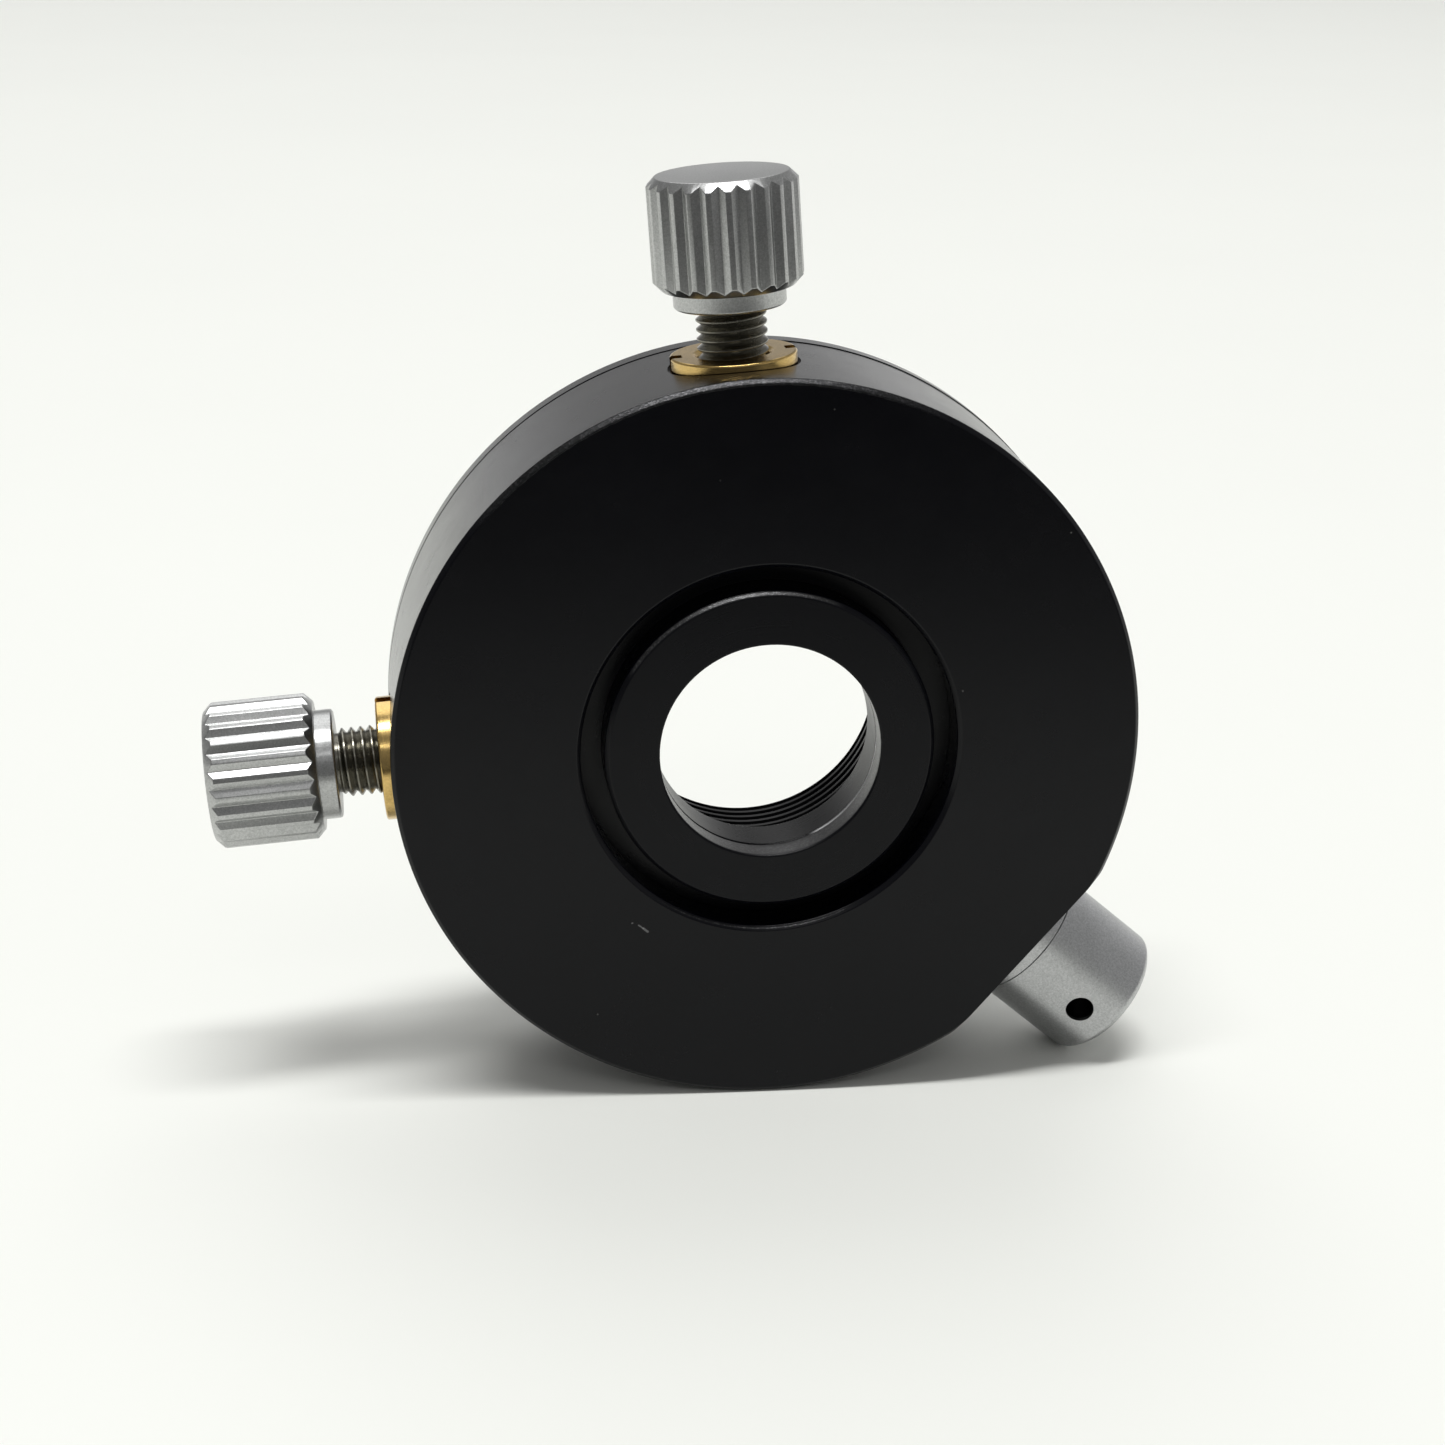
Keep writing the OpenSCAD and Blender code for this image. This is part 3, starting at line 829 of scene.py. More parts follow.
BLACK_ANODISED = Finish(
    "black_anodised", (0.0006, 0.0007, 0.0018), (0.0012, 0.0013, 0.0026), metallic=0.0, specular=0.20, rough=0.25,
    rough_spread=0.05, grain=Pattern(0.10, 0.004, 0.50), dust=0.02, wear_and_highlight=(0.030, 0.030, 0.031), wear_and_highlight_metallic=1.0,
    wear_and_highlight_rough=0.30, edge_grit=0.03, sparkle=2.4, grazing=0.45,
)
CELL_ANODISED = Finish(
    "cell_anodised", (0.0006, 0.0007, 0.0018), (0.0012, 0.0013, 0.0026), metallic=0.0, specular=0.18, rough=0.28,
    rough_spread=0.05, grain=Pattern(0.10, 0.004, 0.40), rings=Pattern(0.14, 0.004, 0.15), wear_and_highlight=(0.065, 0.065, 0.066),
    wear_and_highlight_metallic=1.0, wear_and_highlight_rough=0.32, edge_grit=0.02, sparkle=1.9,
)
KNOB_SILVER = Finish(
    "knob_silver", (0.465, 0.47, 0.465), (0.42, 0.425, 0.42), rough=0.30, rough_spread=0.04,
    grain=Pattern(0.13, 0.0030, 0.30), rings=Pattern(0.10, 0.0005, 0.02), streaks=Pattern(0.09, 0.0005, 0.03),
)
BARREL_SILVER = Finish(
    "barrel_silver", (0.47, 0.475, 0.48), (0.42, 0.425, 0.43), rough=0.34, rough_spread=0.05,
    grain=Pattern(0.14, 0.004, 0.30), rings=Pattern(0.12, 0.0008, 0.02),
)
BUSHING_BRASS = Finish(
    "bushing_brass", (0.69, 0.485, 0.188), (0.52, 0.355, 0.125), rough=0.18, rough_spread=0.10,
    grain=Pattern(0.16, 0.003, 0.25), rings=Pattern(0.09, 0.002, 0.08),
)
SCREW_STEEL = Finish(
    "screw_steel", (0.25, 0.24, 0.205), (0.15, 0.143, 0.12), rough=0.22, rough_spread=0.12,
    grain=Pattern(0.15, 0.007, 0.45),
)
BALL_STEEL = Finish(
    "ball_steel", (0.78, 0.78, 0.80), (0.70, 0.70, 0.72), rough=0.10, rough_spread=0.06,
    grain=Pattern(0.25, 0.0008, 0.05),
)
SPRING_STEEL = Finish(
    "spring_steel", (0.48, 0.48, 0.49), (0.40, 0.40, 0.41), rough=0.26, streaks=Pattern(0.05, 0.002, 0.12),
)
BLACK_OXIDE = Finish(
    "black_oxide", (0.022, 0.022, 0.023), (0.036, 0.035, 0.034), metallic=0.3, rough=0.32, rough_spread=0.10,
    grain=Pattern(0.10, 0.004, 0.30), wear_and_highlight=(0.22, 0.22, 0.22), wear_and_highlight_metallic=0.9, wear_and_highlight_rough=0.3,
)


def shaded(piece: Object, by_area: bool) -> None:
    """Shades a piece smoothly up to its sharp edges.

    By area, a corner's normal is the mean of its faces' normals, each counted by its face's area in
    square millimetres, since in square metres they are too small to be told apart. That keeps flats
    flat up to their rounded edges. It would show the uneven columns of a fluted knob on its collar.

    Args:
        piece: the piece, whose mesh is replaced by the result.
        by_area: whether the normals are counted by area.
    """
    mesh = piece.data
    mesh.polygons.foreach_set("use_smooth", np.ones(len(mesh.polygons), bool))
    mesh.set_sharp_from_angle(angle=SMOOTH_LIMIT)
    if not by_area:
        return
    mesh.transform(Matrix.Scale(1 / MM, 4))
    even = piece.modifiers.new("even_shading", "WEIGHTED_NORMAL")
    even.mode, even.keep_sharp = "FACE_AREA", True
    applied(piece)
    piece.data.transform(Matrix.Scale(MM, 4))


def finished(piece: Object, node: str, body: str | tuple, material: Material, by_area: bool = True) -> None:
    """Shades a piece, dresses it, and lets it stand for a CAD node.

    Args:
        piece: the piece, in its place.
        node: the CAD node that it stands for.
        body: the body it rides on; or two bodies and two points, between which it stretches from one to the other.
        material: its material.
        by_area: whether its shading counts faces by their area.
    """
    shaded(piece, by_area)
    mesh = piece.data
    mesh.materials.clear()
    mesh.materials.append(material)
    if isinstance(body, tuple):
        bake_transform(piece, *body)
    else:
        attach(piece, body)
    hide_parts(node)


def dressed(node: str, material: Material) -> None:
    """Gives a CAD node whose shape is right a finished material in its own slot.

    Args:
        node: the CAD node.
        material: its material.
    """
    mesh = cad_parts[node].data
    if mesh.materials:
        mesh.materials[0] = material
    else:
        mesh.materials.append(material)
    log.info("%s: keeps its CAD shape, finish %s", node, material.name)


# ---------------------------------------------------------------- the mount


@dataclass
class Housing:
    """The round black housing, its rear cover and the four cover screws."""

    disc_r: float = 25.4
    front: float = -6.8
    wall: float = -3.9
    joint: float = 5.8
    rear: float = 7.7
    cavity_r: float = 19.6
    window_r: float = 12.8
    edge: float = 0.3
    tallest_row: float = 1.6
    seam_w: float = 0.12
    seam_depth: float = 0.14
    seam_edge: float = 0.03
    cover_proud: float = 0.065
    flat: float = 24.2
    flat_at: float = -45.0
    flat_blend: float = 0.12
    bevel_gone: float = 0.75
    bevel_fade: float = 0.45
    bevel_least: float = 0.12
    bushing_seat: float = 24.8
    recess_r: float = 4.45
    body_hole_r: float = 3.43
    stem_hole_r: float = 4.03
    post_floor: float = 20.6
    post_crest_r: float = 1.65
    post_root_r: float = 2.0
    post_pitch: float = 0.7
    post_plain: float = 0.5
    post_mouth: float = 0.4
    screw_circle_r: float = 22.5
    screw_angles: tuple[float, ...] = (22.5, 112.5, 202.5, 292.5)
    screw_hole_r: float = 1.28
    screw_hole_floor: float = 1.3
    clearance_r: float = 1.31
    countersink_r: float = 2.38
    screw_r: float = 1.25
    screw_head_r: float = 2.3
    screw_length: float = 6.0
    screw_bevel: float = 0.3
    screw_land: float = 0.06
    screw_sunk: float = 0.05
    socket_w: float = 1.5
    socket_depth: float = 0.9

    def outline(self) -> tuple[Array, Array, Array]:
        """The outside of disc and flat, seen along the optical axis.

        The radius is the smaller of the disc's and the flat's, joined smoothly over flat_blend. Where the flat
        has cut the edge bevel away, it fades to its least share over bevel_fade, outside bevel_gone.

        Returns:
            The column angles, the radius at each, and the share of the bevel that is left.
        """
        angles, chord = flatted(self.disc_r, self.flat, (self.flat_at,), 360, np.linspace(-0.02, 0.02, 17))
        share = np.clip(0.5 + 0.5 * (chord - self.disc_r) / self.flat_blend, 0.0, 1.0)
        radius = chord * (1 - share) + self.disc_r * share - self.flat_blend * share * (1 - share)
        left = (radius - self.flat - self.bevel_gone) / self.bevel_fade
        return angles, radius, np.clip(left, self.bevel_least, 1.0)

    def shell(self) -> Object:
        """Turns the housing from its section and cuts its holes.

        Returns:
            The housing.
        """
        angles, r, left = self.outline()
        b, f, s = self.edge * left, self.edge, self.seam_edge
        corners = [
            (self.window_r + f, self.front, 0.06), (r - b, self.front, 0.08), (r, self.front + b, 0.08),
            (r, self.joint - s, 0.03), (r - s, self.joint, 0.03), (self.cavity_r, self.joint, 0.1),
            (self.cavity_r, self.wall, 0.2), (self.window_r, self.wall, 0.1), (self.window_r, self.front + f, 0.06),
        ]
        piece = lathed("housing_shell", corners, Axes.optical(), angles, self.tallest_row)
        low, high, seat = self.cavity_r - 1, self.disc_r + 2, self.bushing_seat
        stepped = [(0, low), (self.body_hole_r, low), (self.body_hole_r, seat)]
        stepped += [(self.recess_r, seat), (self.recess_r, high), (0, high)]
        cutters = [rod(stepped, Axes.outwards(angle), 128) for angle in (180.0, 90.0)]
        cutters.append(drill(self.stem_hole_r, low, high, Axes.outwards(self.flat_at)))
        cutters.append(self.post_cutter())
        for axes in self.screw_axes():
            cutters.append(drill(self.screw_hole_r, self.screw_hole_floor, self.joint + 1, axes, 48))
        carved(piece, cutters)
        return piece

    def post_cutter(self) -> Object:
        """The tapped post hole with its countersunk mouth: a thread between two plain lengths.

        Returns:
            Its cutter.
        """
        angles, r, wide, top = evenly(64), self.post_crest_r, self.post_crest_r + self.post_mouth, self.disc_r
        low, high = self.post_floor + self.post_plain, top - self.post_plain
        bottom = revolved([(0, self.post_floor), (r, self.post_floor), (r, low)], angles)
        mouth = revolved([(r, high), (r, top - self.post_mouth), (wide, top), (wide, top + 1), (0, top + 1)], angles)
        thread = threaded(low, high, self.post_root_r, r, self.post_pitch, angles)
        return made("cutter", [bottom, thread, mouth], Axes.outwards(-90.0))

    def screw_axes(self) -> list[Axes]:
        """Axes along each cover screw."""
        r = self.screw_circle_r
        return [Axes.optical(r * math.cos(a), r * math.sin(a)) for a in map(math.radians, self.screw_angles)]

    def cover(self) -> Object:
        """Turns the rear cover, with the fine slot round its front edge, and cuts its countersunk holes.

        It sits a little off centre: proud by cover_proud (1 + cos(angle - 30 degrees)) / 2, so it is flush
        with the housing low on the left and stands out most high on the right.

        Returns:
            The cover.
        """
        angles, r, left = self.outline()
        r, b, f = r + self.cover_proud * (1 + np.cos(angles + math.pi / 6)) / 2, self.edge * left, self.edge
        slot, lip = r - self.seam_depth, self.joint + self.seam_w
        corners = [
            (self.window_r, self.joint, 0.05), (slot, self.joint, 0.03), (slot, lip, 0.02), (r, lip, 0.02),
            (r, self.rear - b, 0.08), (r - b, self.rear, 0.08), (self.window_r + f, self.rear, 0.06),
            (self.window_r, self.rear - f, 0.06),
        ]
        piece = lathed("rear_cover_plate", corners, Axes.optical(), angles, self.tallest_row)
        low, high, hole, sink = self.joint - 1, self.rear, self.clearance_r, self.countersink_r
        cut = [(0, low), (hole, low), (hole, high - sink + hole), (sink, high), (sink, high + 1), (0, high + 1)]
        carved(piece, [rod(cut, axes) for axes in self.screw_axes()])
        return piece

    def cover_screw(self, number: int, axes: Axes) -> Object:
        """Turns one countersunk screw and cuts its hexagon socket.

        Args:
            number: the screw's number.
            axes: the screw's axes.

        Returns:
            The screw.
        """
        top, tip = self.rear - self.screw_sunk, self.rear - self.screw_length
        r, head, b = self.screw_r, self.screw_head_r, self.screw_bevel
        corners = [
            (0, tip, 0), (r - b, tip, 0.05), (r, tip + b, 0.05), (r, top - (head - r), 0.05),
            (head, top - self.screw_land, 0.05), (head - 0.1, top, 0.05), (0, top, 0),
        ]
        piece = lathed(f"cover_screw_{number}_turned", corners, axes, evenly(96), closed=False)
        w, floor = self.socket_w / 2 / math.cos(math.radians(30)), self.rear - self.socket_depth
        cut = [(0, floor - 0.25), (w * 0.8, floor), (w, floor), (w, top - 0.08), (w + 0.2, top + 0.12), (0, top + 0.12)]
        carved(piece, [rod(cut, axes, 6)])
        return piece

    def build(self) -> None:
        """Builds and dresses the housing, the cover and the screws."""
        middle = self.edge / 2  # of an edge's bevel
        rim, window = self.disc_r - middle, self.window_r + middle
        # Rubbed-metal colour on arcs of the bevels, at the top of the rim and the bottom of the window: wear, and
        # partly painted highlight, since each arc is kept to where light catches the bevel.
        front_edges = (
            Edge(rim, self.front + middle, 0.30, 0.3, -98, 27), Edge(window, self.front + middle, 0.07, 0.3, 100, 15),
        )
        rear_edges = (
            Edge(rim, self.rear - middle, 0.2, 0.5, -90, 60), Edge(window, self.rear - middle, 0.17, 0.5, 90, 60),
        )
        nicks = (
            Scratch((-10.30, 11.34, self.front), (0.04, 0.0, 0.0), 0.07),
            Scratch((-9.86, 11.55, self.front), (0.30, 0.27, 0.0), 0.07),
            Scratch((-9.54, 11.84, self.front), (0.26, 0.26, 0.0), 0.11),
        )
        black = BLACK_ANODISED.material("housing", Axes.optical(), front_edges, nicks)
        finished(self.shell(), "housing", "frame", black)
        black = BLACK_ANODISED.material("cover", Axes.optical(), rear_edges)
        finished(self.cover(), "rear_cover", "frame", black)
        for number, axes in enumerate(self.screw_axes(), 1):
            rubbed_and_lit = Edge(self.screw_head_r - 0.02, self.rear - 0.07, 0.11, 0.8)
            oxide = BLACK_OXIDE.material(f"screw_{number}", axes, (rubbed_and_lit,))
            finished(self.cover_screw(number, axes), f"cover_screw_{number}", "frame", oxide)


@dataclass
class LensCell:
    """The cell that carries the lens: two noses, a sliding flange with three flats, and the grooved bore."""

    front: float = -6.8
    rear: float = 7.7
    nose_r: float = 11.2
    flange_r: float = 17.0
    flange_front: float = -3.85
    flange_rear: float = 5.75
    push_flat: float = 15.0
    flats: tuple[float, ...] = (180.0, 90.0, -45.0)
    bevel: float = 0.3
    rounding: float = 0.05
    tallest_row: float = 2.0
    aperture_r: float = 7.5
    aperture_bevel: float = 0.1
    bore_r: float = 9.55
    bore_bevel: float = 0.12
    shoulder: float = -1.4
    groove_pitch: float = 0.92
    groove_w: float = 0.58
    groove_depth: float = 0.32
    grooves: int = 5
    line_depth: float = 1.9
    line_w: float = 0.3
    pad_r: float = 3.0
    pad_floor: float = 14.0

    def grooved(self) -> list[tuple[float, float]]:
        """Corners of the V-shaped light-trap grooves, from the back towards the front.

        Returns:
            (radius, height) of each corner.
        """
        middle = self.rear - self.groove_pitch * (0.5 + np.repeat(np.arange(self.grooves), 3))
        side = np.tile([-1.0, 0.0, 1.0], self.grooves)
        radius = self.bore_r + self.groove_depth * (side == 0)
        return list(zip(radius, middle - side * self.groove_w / 2))

    def ring(self) -> Object:
        """Turns the cell from its section and cuts the two pad pockets.

        The flange's radius is the smaller of flange_r and the nearest flat's distance.

        Returns:
            The cell.
        """
        angles, chord = flatted(self.flange_r, self.push_flat, self.flats, 288, np.linspace(-0.01, 0.01, 5))
        r, nose, bore, aperture = np.minimum(chord, self.flange_r), self.nose_r, self.bore_r, self.aperture_r
        b, lip, mouth = self.bevel, self.aperture_bevel, self.bore_bevel
        w, line = self.line_w, self.front + self.line_depth
        corners = [
            (nose - b, self.front), (nose, self.front + b), (nose, self.flange_front), (r - b, self.flange_front),
            (r, self.flange_front + b), (r, self.flange_rear - b), (r - b, self.flange_rear), (nose, self.flange_rear),
            (nose, self.rear - b), (nose - b, self.rear), (bore + mouth, self.rear), (bore, self.rear - mouth),
            *self.grooved(), (bore, self.shoulder), (aperture, self.shoulder),
            (aperture, line + w), (aperture + w / 2, line + w / 2), (aperture, line),
            (aperture, self.front + lip), (aperture + lip, self.front),
        ]
        rounded = [(*corner, self.rounding) for corner in corners]
        piece = lathed("lens_cell_turned", rounded, Axes.optical(), angles, self.tallest_row)
        top = self.flange_r + 2
        carved(piece, [drill(self.pad_r, self.pad_floor, top, Axes.outwards(angle)) for angle in (180.0, 90.0)])
        return piece

    def build(self) -> None:
        """Builds and dresses the cell and its two hardened pads."""
        nose, bore, b, mouth = self.nose_r - self.bevel / 2, self.bore_r, self.bevel / 2, self.bore_bevel / 2
        # Rubbed-metal colour: a full ring on the bore's front land, and arcs at the top of the nose's edges and of the
        # bore's rear mouth, which are kept to where light catches them and so are partly painted highlight.
        edges = (
            Edge(nose, self.front + b, 0.155, 0.3, -103, 32), Edge(self.aperture_r, self.front + 0.95, 0.90, 0.1),
            Edge(nose, self.rear - b, 0.2, 0.6, -90, 60), Edge(bore + mouth, self.rear - mouth, 0.14, 0.5, -90, 60),
        )
        # painted highlight: a bare-metal line on the right of the bore's step, where light catches it
        painted_highlight_line = Edge(self.aperture_r + 0.05, self.front + self.line_depth + self.line_w / 2, 0.2, 0.1, 28, 33)
        black = CELL_ANODISED.material("ring", Axes.optical(), edges, (painted_highlight_line,))
        finished(self.ring(), "lens_cell", "cell", black)
        dressed("x_pad", BALL_STEEL.material("x_pad", Axes.outwards(180.0)))
        dressed("z_pad", BALL_STEEL.material("z_pad", Axes.outwards(90.0)))


@dataclass
class Adjuster:
    """One adjuster: a brass bushing, a fine screw with a ball in its tip, and a fluted knob."""

    name: str
    angle: float
    flute_turn: float
    bushing_inner: float = 20.0
    seat: float = 24.8
    face: float = 25.9
    flange_r: float = 4.25
    body_r: float = 3.4
    bore_r: float = 2.41
    mouth: float = 0.25
    notch_w: float = 0.9
    notch_depth: float = 0.8
    ball_at: float = 16.73
    ball_r: float = 1.5
    ball_play: float = 0.05
    tip: float = 16.31
    plain_tip: float = 3.0
    crest_r: float = 2.37
    root_r: float = 2.03
    pitch: float = 0.635
    collar: float = 29.05
    neck: float = 0.12
    step_play: float = 0.02
    shank_r: float = 2.0
    shank: float = 5.0
    base: float = 30.30
    top: float = 37.70
    knob_r: float = 5.0
    bevel: float = 0.58
    collar_r: float = 3.75
    collar_bevel: float = 0.12
    flutes: int = 24
    flute_w: float = 0.95
    flute_depth: float = 0.36
    flute_rounding: tuple[float, ...] = (0.05, 0.04, 0.0, 0.04)

    @property
    def axes(self) -> Axes:
        """The adjuster's own axes."""
        return Axes.outwards(self.angle)

    def bushing(self) -> Object:
        """Turns the flanged bushing and cuts its two spanner notches.

        Returns:
            The bushing.
        """
        bore, body, flange, low, seat, face = (
            self.bore_r, self.body_r, self.flange_r, self.bushing_inner, self.seat, self.face
        )
        corners = [
            (bore, low, 0.05), (body, low, 0.05), (body, seat, 0.05), (flange, seat, 0.06), (flange, face - 0.1, 0.06),
            (flange - 0.1, face, 0.06), (bore + self.mouth, face, 0.06), (bore, face - self.mouth, 0.05),
        ]
        piece = lathed(f"{self.name}_bushing_turned", corners, self.axes, evenly(128))
        near, far, half = flange - self.notch_depth, flange + 1, self.notch_w / 2
        sides = ((near, far), (-far, -near))
        carved(piece, [box_cutter((a, -half, seat - 1), (b, half, face + 1), self.axes) for a, b in sides])
        return piece

    def screw(self) -> Object:
        """Turns the screw: a socketed tip, the thread, a neck and the shank inside the knob.

        Returns:
            The screw.
        """
        angles, root = evenly(72), self.root_r
        start, end = self.tip + self.plain_tip, self.collar - self.neck
        step, top = self.collar + self.step_play, self.collar + self.shank
        cup_r = self.ball_r + self.ball_play
        sweep = np.linspace(0.0, math.acos((self.tip - self.ball_at) / cup_r), 16)
        cup = list(zip(cup_r * np.sin(sweep), self.ball_at + cup_r * np.cos(sweep)))
        low = revolved([*cup, (root - 0.1, self.tip), (root, self.tip + 0.1), (root, start)], angles)
        high = revolved([(root, end), (root, step), (self.shank_r, step), (self.shank_r, top), (0.0, top)], angles)
        thread = threaded(start, end, self.crest_r, root, self.pitch, angles)
        return made(f"{self.name}_screw_threaded", [low, thread, high], self.axes)

    def fluted(self) -> tuple[Array, Array]:
        """Outline of the fluted knob: V-shaped flutes between lands of the full radius, with rounded corners.

        Returns:
            The angle and the radius of each column, over a whole turn.
        """
        half, step, r = self.flute_w / 2, FULL_TURN / self.flutes, self.knob_r
        land = step - math.asin(half / r)
        flute = np.array([
            (r - self.flute_depth, 0.0), (math.sqrt(r**2 - half**2), half),
            (r * math.cos(step / 2), r * math.sin(step / 2)), (r * math.cos(land), r * math.sin(land)),
        ])
        turn = np.arange(self.flutes) * step
        c, s = np.cos(turn)[:, None], np.sin(turn)[:, None]
        ring = np.stack([flute[:, 0] * c - flute[:, 1] * s, flute[:, 0] * s + flute[:, 1] * c], -1).reshape(-1, 1, 2)
        ring = np.roll(softened(ring, np.tile(self.flute_rounding, self.flutes))[:, 0], -2, 0)
        ring = np.concatenate([ring, ring[:1]])
        angles = np.unwrap(np.arctan2(ring[:, 1], ring[:, 0]))
        return angles + math.radians(self.flute_turn), np.hypot(ring[:, 0], ring[:, 1])

    def knob(self) -> Object:
        """Turns the knob about its outline, so that its bevelled ends cut across the flutes.

        Returns:
            The knob.
        """
        angles, r = self.fluted()
        flat = self.knob_r - self.bevel
        drop = np.maximum(r - flat, 0.0)
        shank, low, bore_end = self.shank_r, self.collar, self.collar + self.shank
        collar, c = self.collar_r, self.collar_bevel
        corners = [
            (0.0, bore_end, 0), (shank, bore_end, 0), (shank, low, 0.05), (collar - c, low, 0.06),
            (collar, low + c, 0.06), (collar, self.base, 0.05), (flat, self.base, 0.04), (r, self.base + drop, 0.05),
            (r, self.top - drop, 0.05), (flat, self.top, 0.05), (0.0, self.top, 0),
        ]
        return lathed(f"{self.name}_knob_fluted", corners, self.axes, angles, closed=False)

    def build(self) -> None:
        """Builds and dresses the bushing, the screw, the knob and the ball."""
        name, axes, body = self.name, self.axes, f"{self.name}_adjuster"
        finished(self.bushing(), f"{name}_bushing", "frame", BUSHING_BRASS.material(name, axes))
        finished(self.screw(), f"{name}_screw", body, SCREW_STEEL.material(name, axes))
        finished(self.knob(), f"{name}_knob", body, KNOB_SILVER.material(name, axes), by_area=False)
        dressed(f"{name}_ball", BALL_STEEL.material(f"{name}_ball", axes))


@dataclass
class SpringPlunger:
    """The spring plunger on the flat: lock ring, barrel with a tommy hole, spring and pin."""

    angle: float = -45.0
    flat: float = 24.2
    ring_face: float = 25.84
    end: float = 34.14
    outer_r: float = 5.0
    bevel: float = 0.5
    seam: float = 0.05
    stem_r: float = 4.0
    stem_bevel: float = 0.3
    stem_inner: float = 19.7
    ring_play: float = 0.03
    lip_end: float = 20.9
    lip_r: float = 2.0
    chamber_r: float = 2.75
    chamber_end: float = 29.14
    tommy_r: float = 1.0
    tommy_at: float = 31.14
    tommy_turn: float = 13.0
    tommy_lip: float = 0.35
    spring_at: float = 23.97
    spring_play: float = 0.01
    coil_r: float = 2.375
    wire_r: float = 0.22
    coils: int = 6

    @property
    def axes(self) -> Axes:
        """The plunger's own axes."""
        return Axes.outwards(self.angle)

    def lock_ring(self) -> Object:
        """Turns the ring between the barrel and the flat.

        Returns:
            The ring.
        """
        s, r, bore, low, high = self.seam, self.outer_r, self.stem_r + self.ring_play, self.flat, self.ring_face
        corners = [(bore, low), (r - s, low), (r, low + s), (r, high - s), (r - s, high), (bore, high)]
        rounded = [(*corner, 0.02) for corner in corners]
        return lathed("plunger_lock_ring_turned", rounded, self.axes, evenly(128))

    def barrel(self) -> Object:
        """Turns the barrel with its stem and spring chamber, and drills the tommy hole across it.

        Returns:
            The barrel.
        """
        r, s, face = self.outer_r, self.seam, self.ring_face
        stem, b, inner = self.stem_r, self.stem_bevel, self.stem_inner
        corners = [
            (0.0, self.chamber_end, 0), (self.chamber_r, self.chamber_end, 0.1), (self.chamber_r, self.lip_end, 0.1),
            (self.lip_r, self.lip_end, 0.1), (self.lip_r, inner, 0.1), (stem - b, inner, 0.05), (stem, inner + b, 0.05),
            (stem, face, 0.05), (r - s, face, 0.02), (r, face + s, 0.02), (r, self.end - self.bevel, 0.16),
            (r - self.bevel, self.end, 0.12), (0.0, self.end, 0),
        ]
        piece = lathed("plunger_barrel_turned", corners, self.axes, evenly(128), row=1.2, steps=5, closed=False)
        across = self.axes.crossing(self.tommy_turn, self.tommy_at)
        carved(piece, [drill(self.tommy_r, -r - 1, r + 1, across, 64)])
        return piece

    def half_spring(self, half: int) -> tuple[Object, list[Array]]:
        """Sweeps the wire along one half of the helix.

        The wire's centre runs at (c cos a, c sin a, h), and its skin is at radius c + w cos b and height h + w sin b.

        Args:
            half: 0 for the half on the pin, 1 for the half on the chamber's end.

        Returns:
            The half, and the two points on the plunger's axis where it starts and ends.
        """
        share = (half + np.linspace(0.0, 1.0, 73)) / 2
        low, high = self.spring_at + self.wire_r, self.chamber_end - self.spring_play - self.wire_r
        a, h, b = FULL_TURN * self.coils * share, low + (high - low) * share, evenly(12)[:, None]
        r = self.coil_r + self.wire_r * np.cos(b)
        wire = np.stack([r * np.cos(a), r * np.sin(a), h + self.wire_r * np.sin(b)], -1)
        caps = []
        for column, order in ((0, 1), (-1, -1)):
            rim = wire[:, column]
            caps.append(np.stack([rim, np.broadcast_to(rim[:-1].mean(0), rim.shape)][::order]))
        ends = [self.axes.place(np.array((0.0, 0.0, at))) * MM for at in h[[0, -1]]]
        return made(f"plunger_spring_{('inner', 'outer')[half]}", [wire, *caps], self.axes), ends

    def build(self) -> None:
        """Builds and dresses the ring, the barrel, the spring and the pin.

        The spring is two halves, so that it shortens with each of the two slides that its ends follow.
        """
        axes = self.axes
        silver = BARREL_SILVER.material("ring", axes)
        finished(self.lock_ring(), "plunger_lock_ring", "frame", silver)
        # painted shade inside the tommy hole
        tommy = ShadedHole(self.outer_r - self.tommy_lip, self.tommy_at, self.tommy_r + 0.05)
        silver = BARREL_SILVER.material("barrel", axes, hole=tommy)
        finished(self.barrel(), "plunger_barrel", "frame", silver)
        wire = SPRING_STEEL.material("wire", axes)
        for half, (low, high) in enumerate((("pin", "spring"), ("spring", "frame"))):
            piece, ends = self.half_spring(half)
            finished(piece, "plunger_spring", (low, high, *ends), wire)
        dressed("plunger_pin", BALL_STEEL.material("pin", axes))


# ---------------------------------------------------------------- floor, light and camera


def placed(name: str, data: bpy.types.ID, right: Triple, up: Triple, back: Triple, at: Triple) -> Object:
    """Links a light or a camera by its place, in metres, and its three directions.

    Args:
        name: its name.
        data: the light or the camera.
        right: where its right side points.
        up: where its top points.
        back: where its back points.
        at: its place.

    Returns:
        The object.
    """
    placed_object = bpy.data.objects.new(name, data)
    bpy.context.scene.collection.objects.link(placed_object)
    m = np.eye(4)
    m[:3, 0], m[:3, 1], m[:3, 2], m[:3, 3] = right, up, back, at
    placed_object.matrix_world = Matrix(m.tolist())
    return placed_object


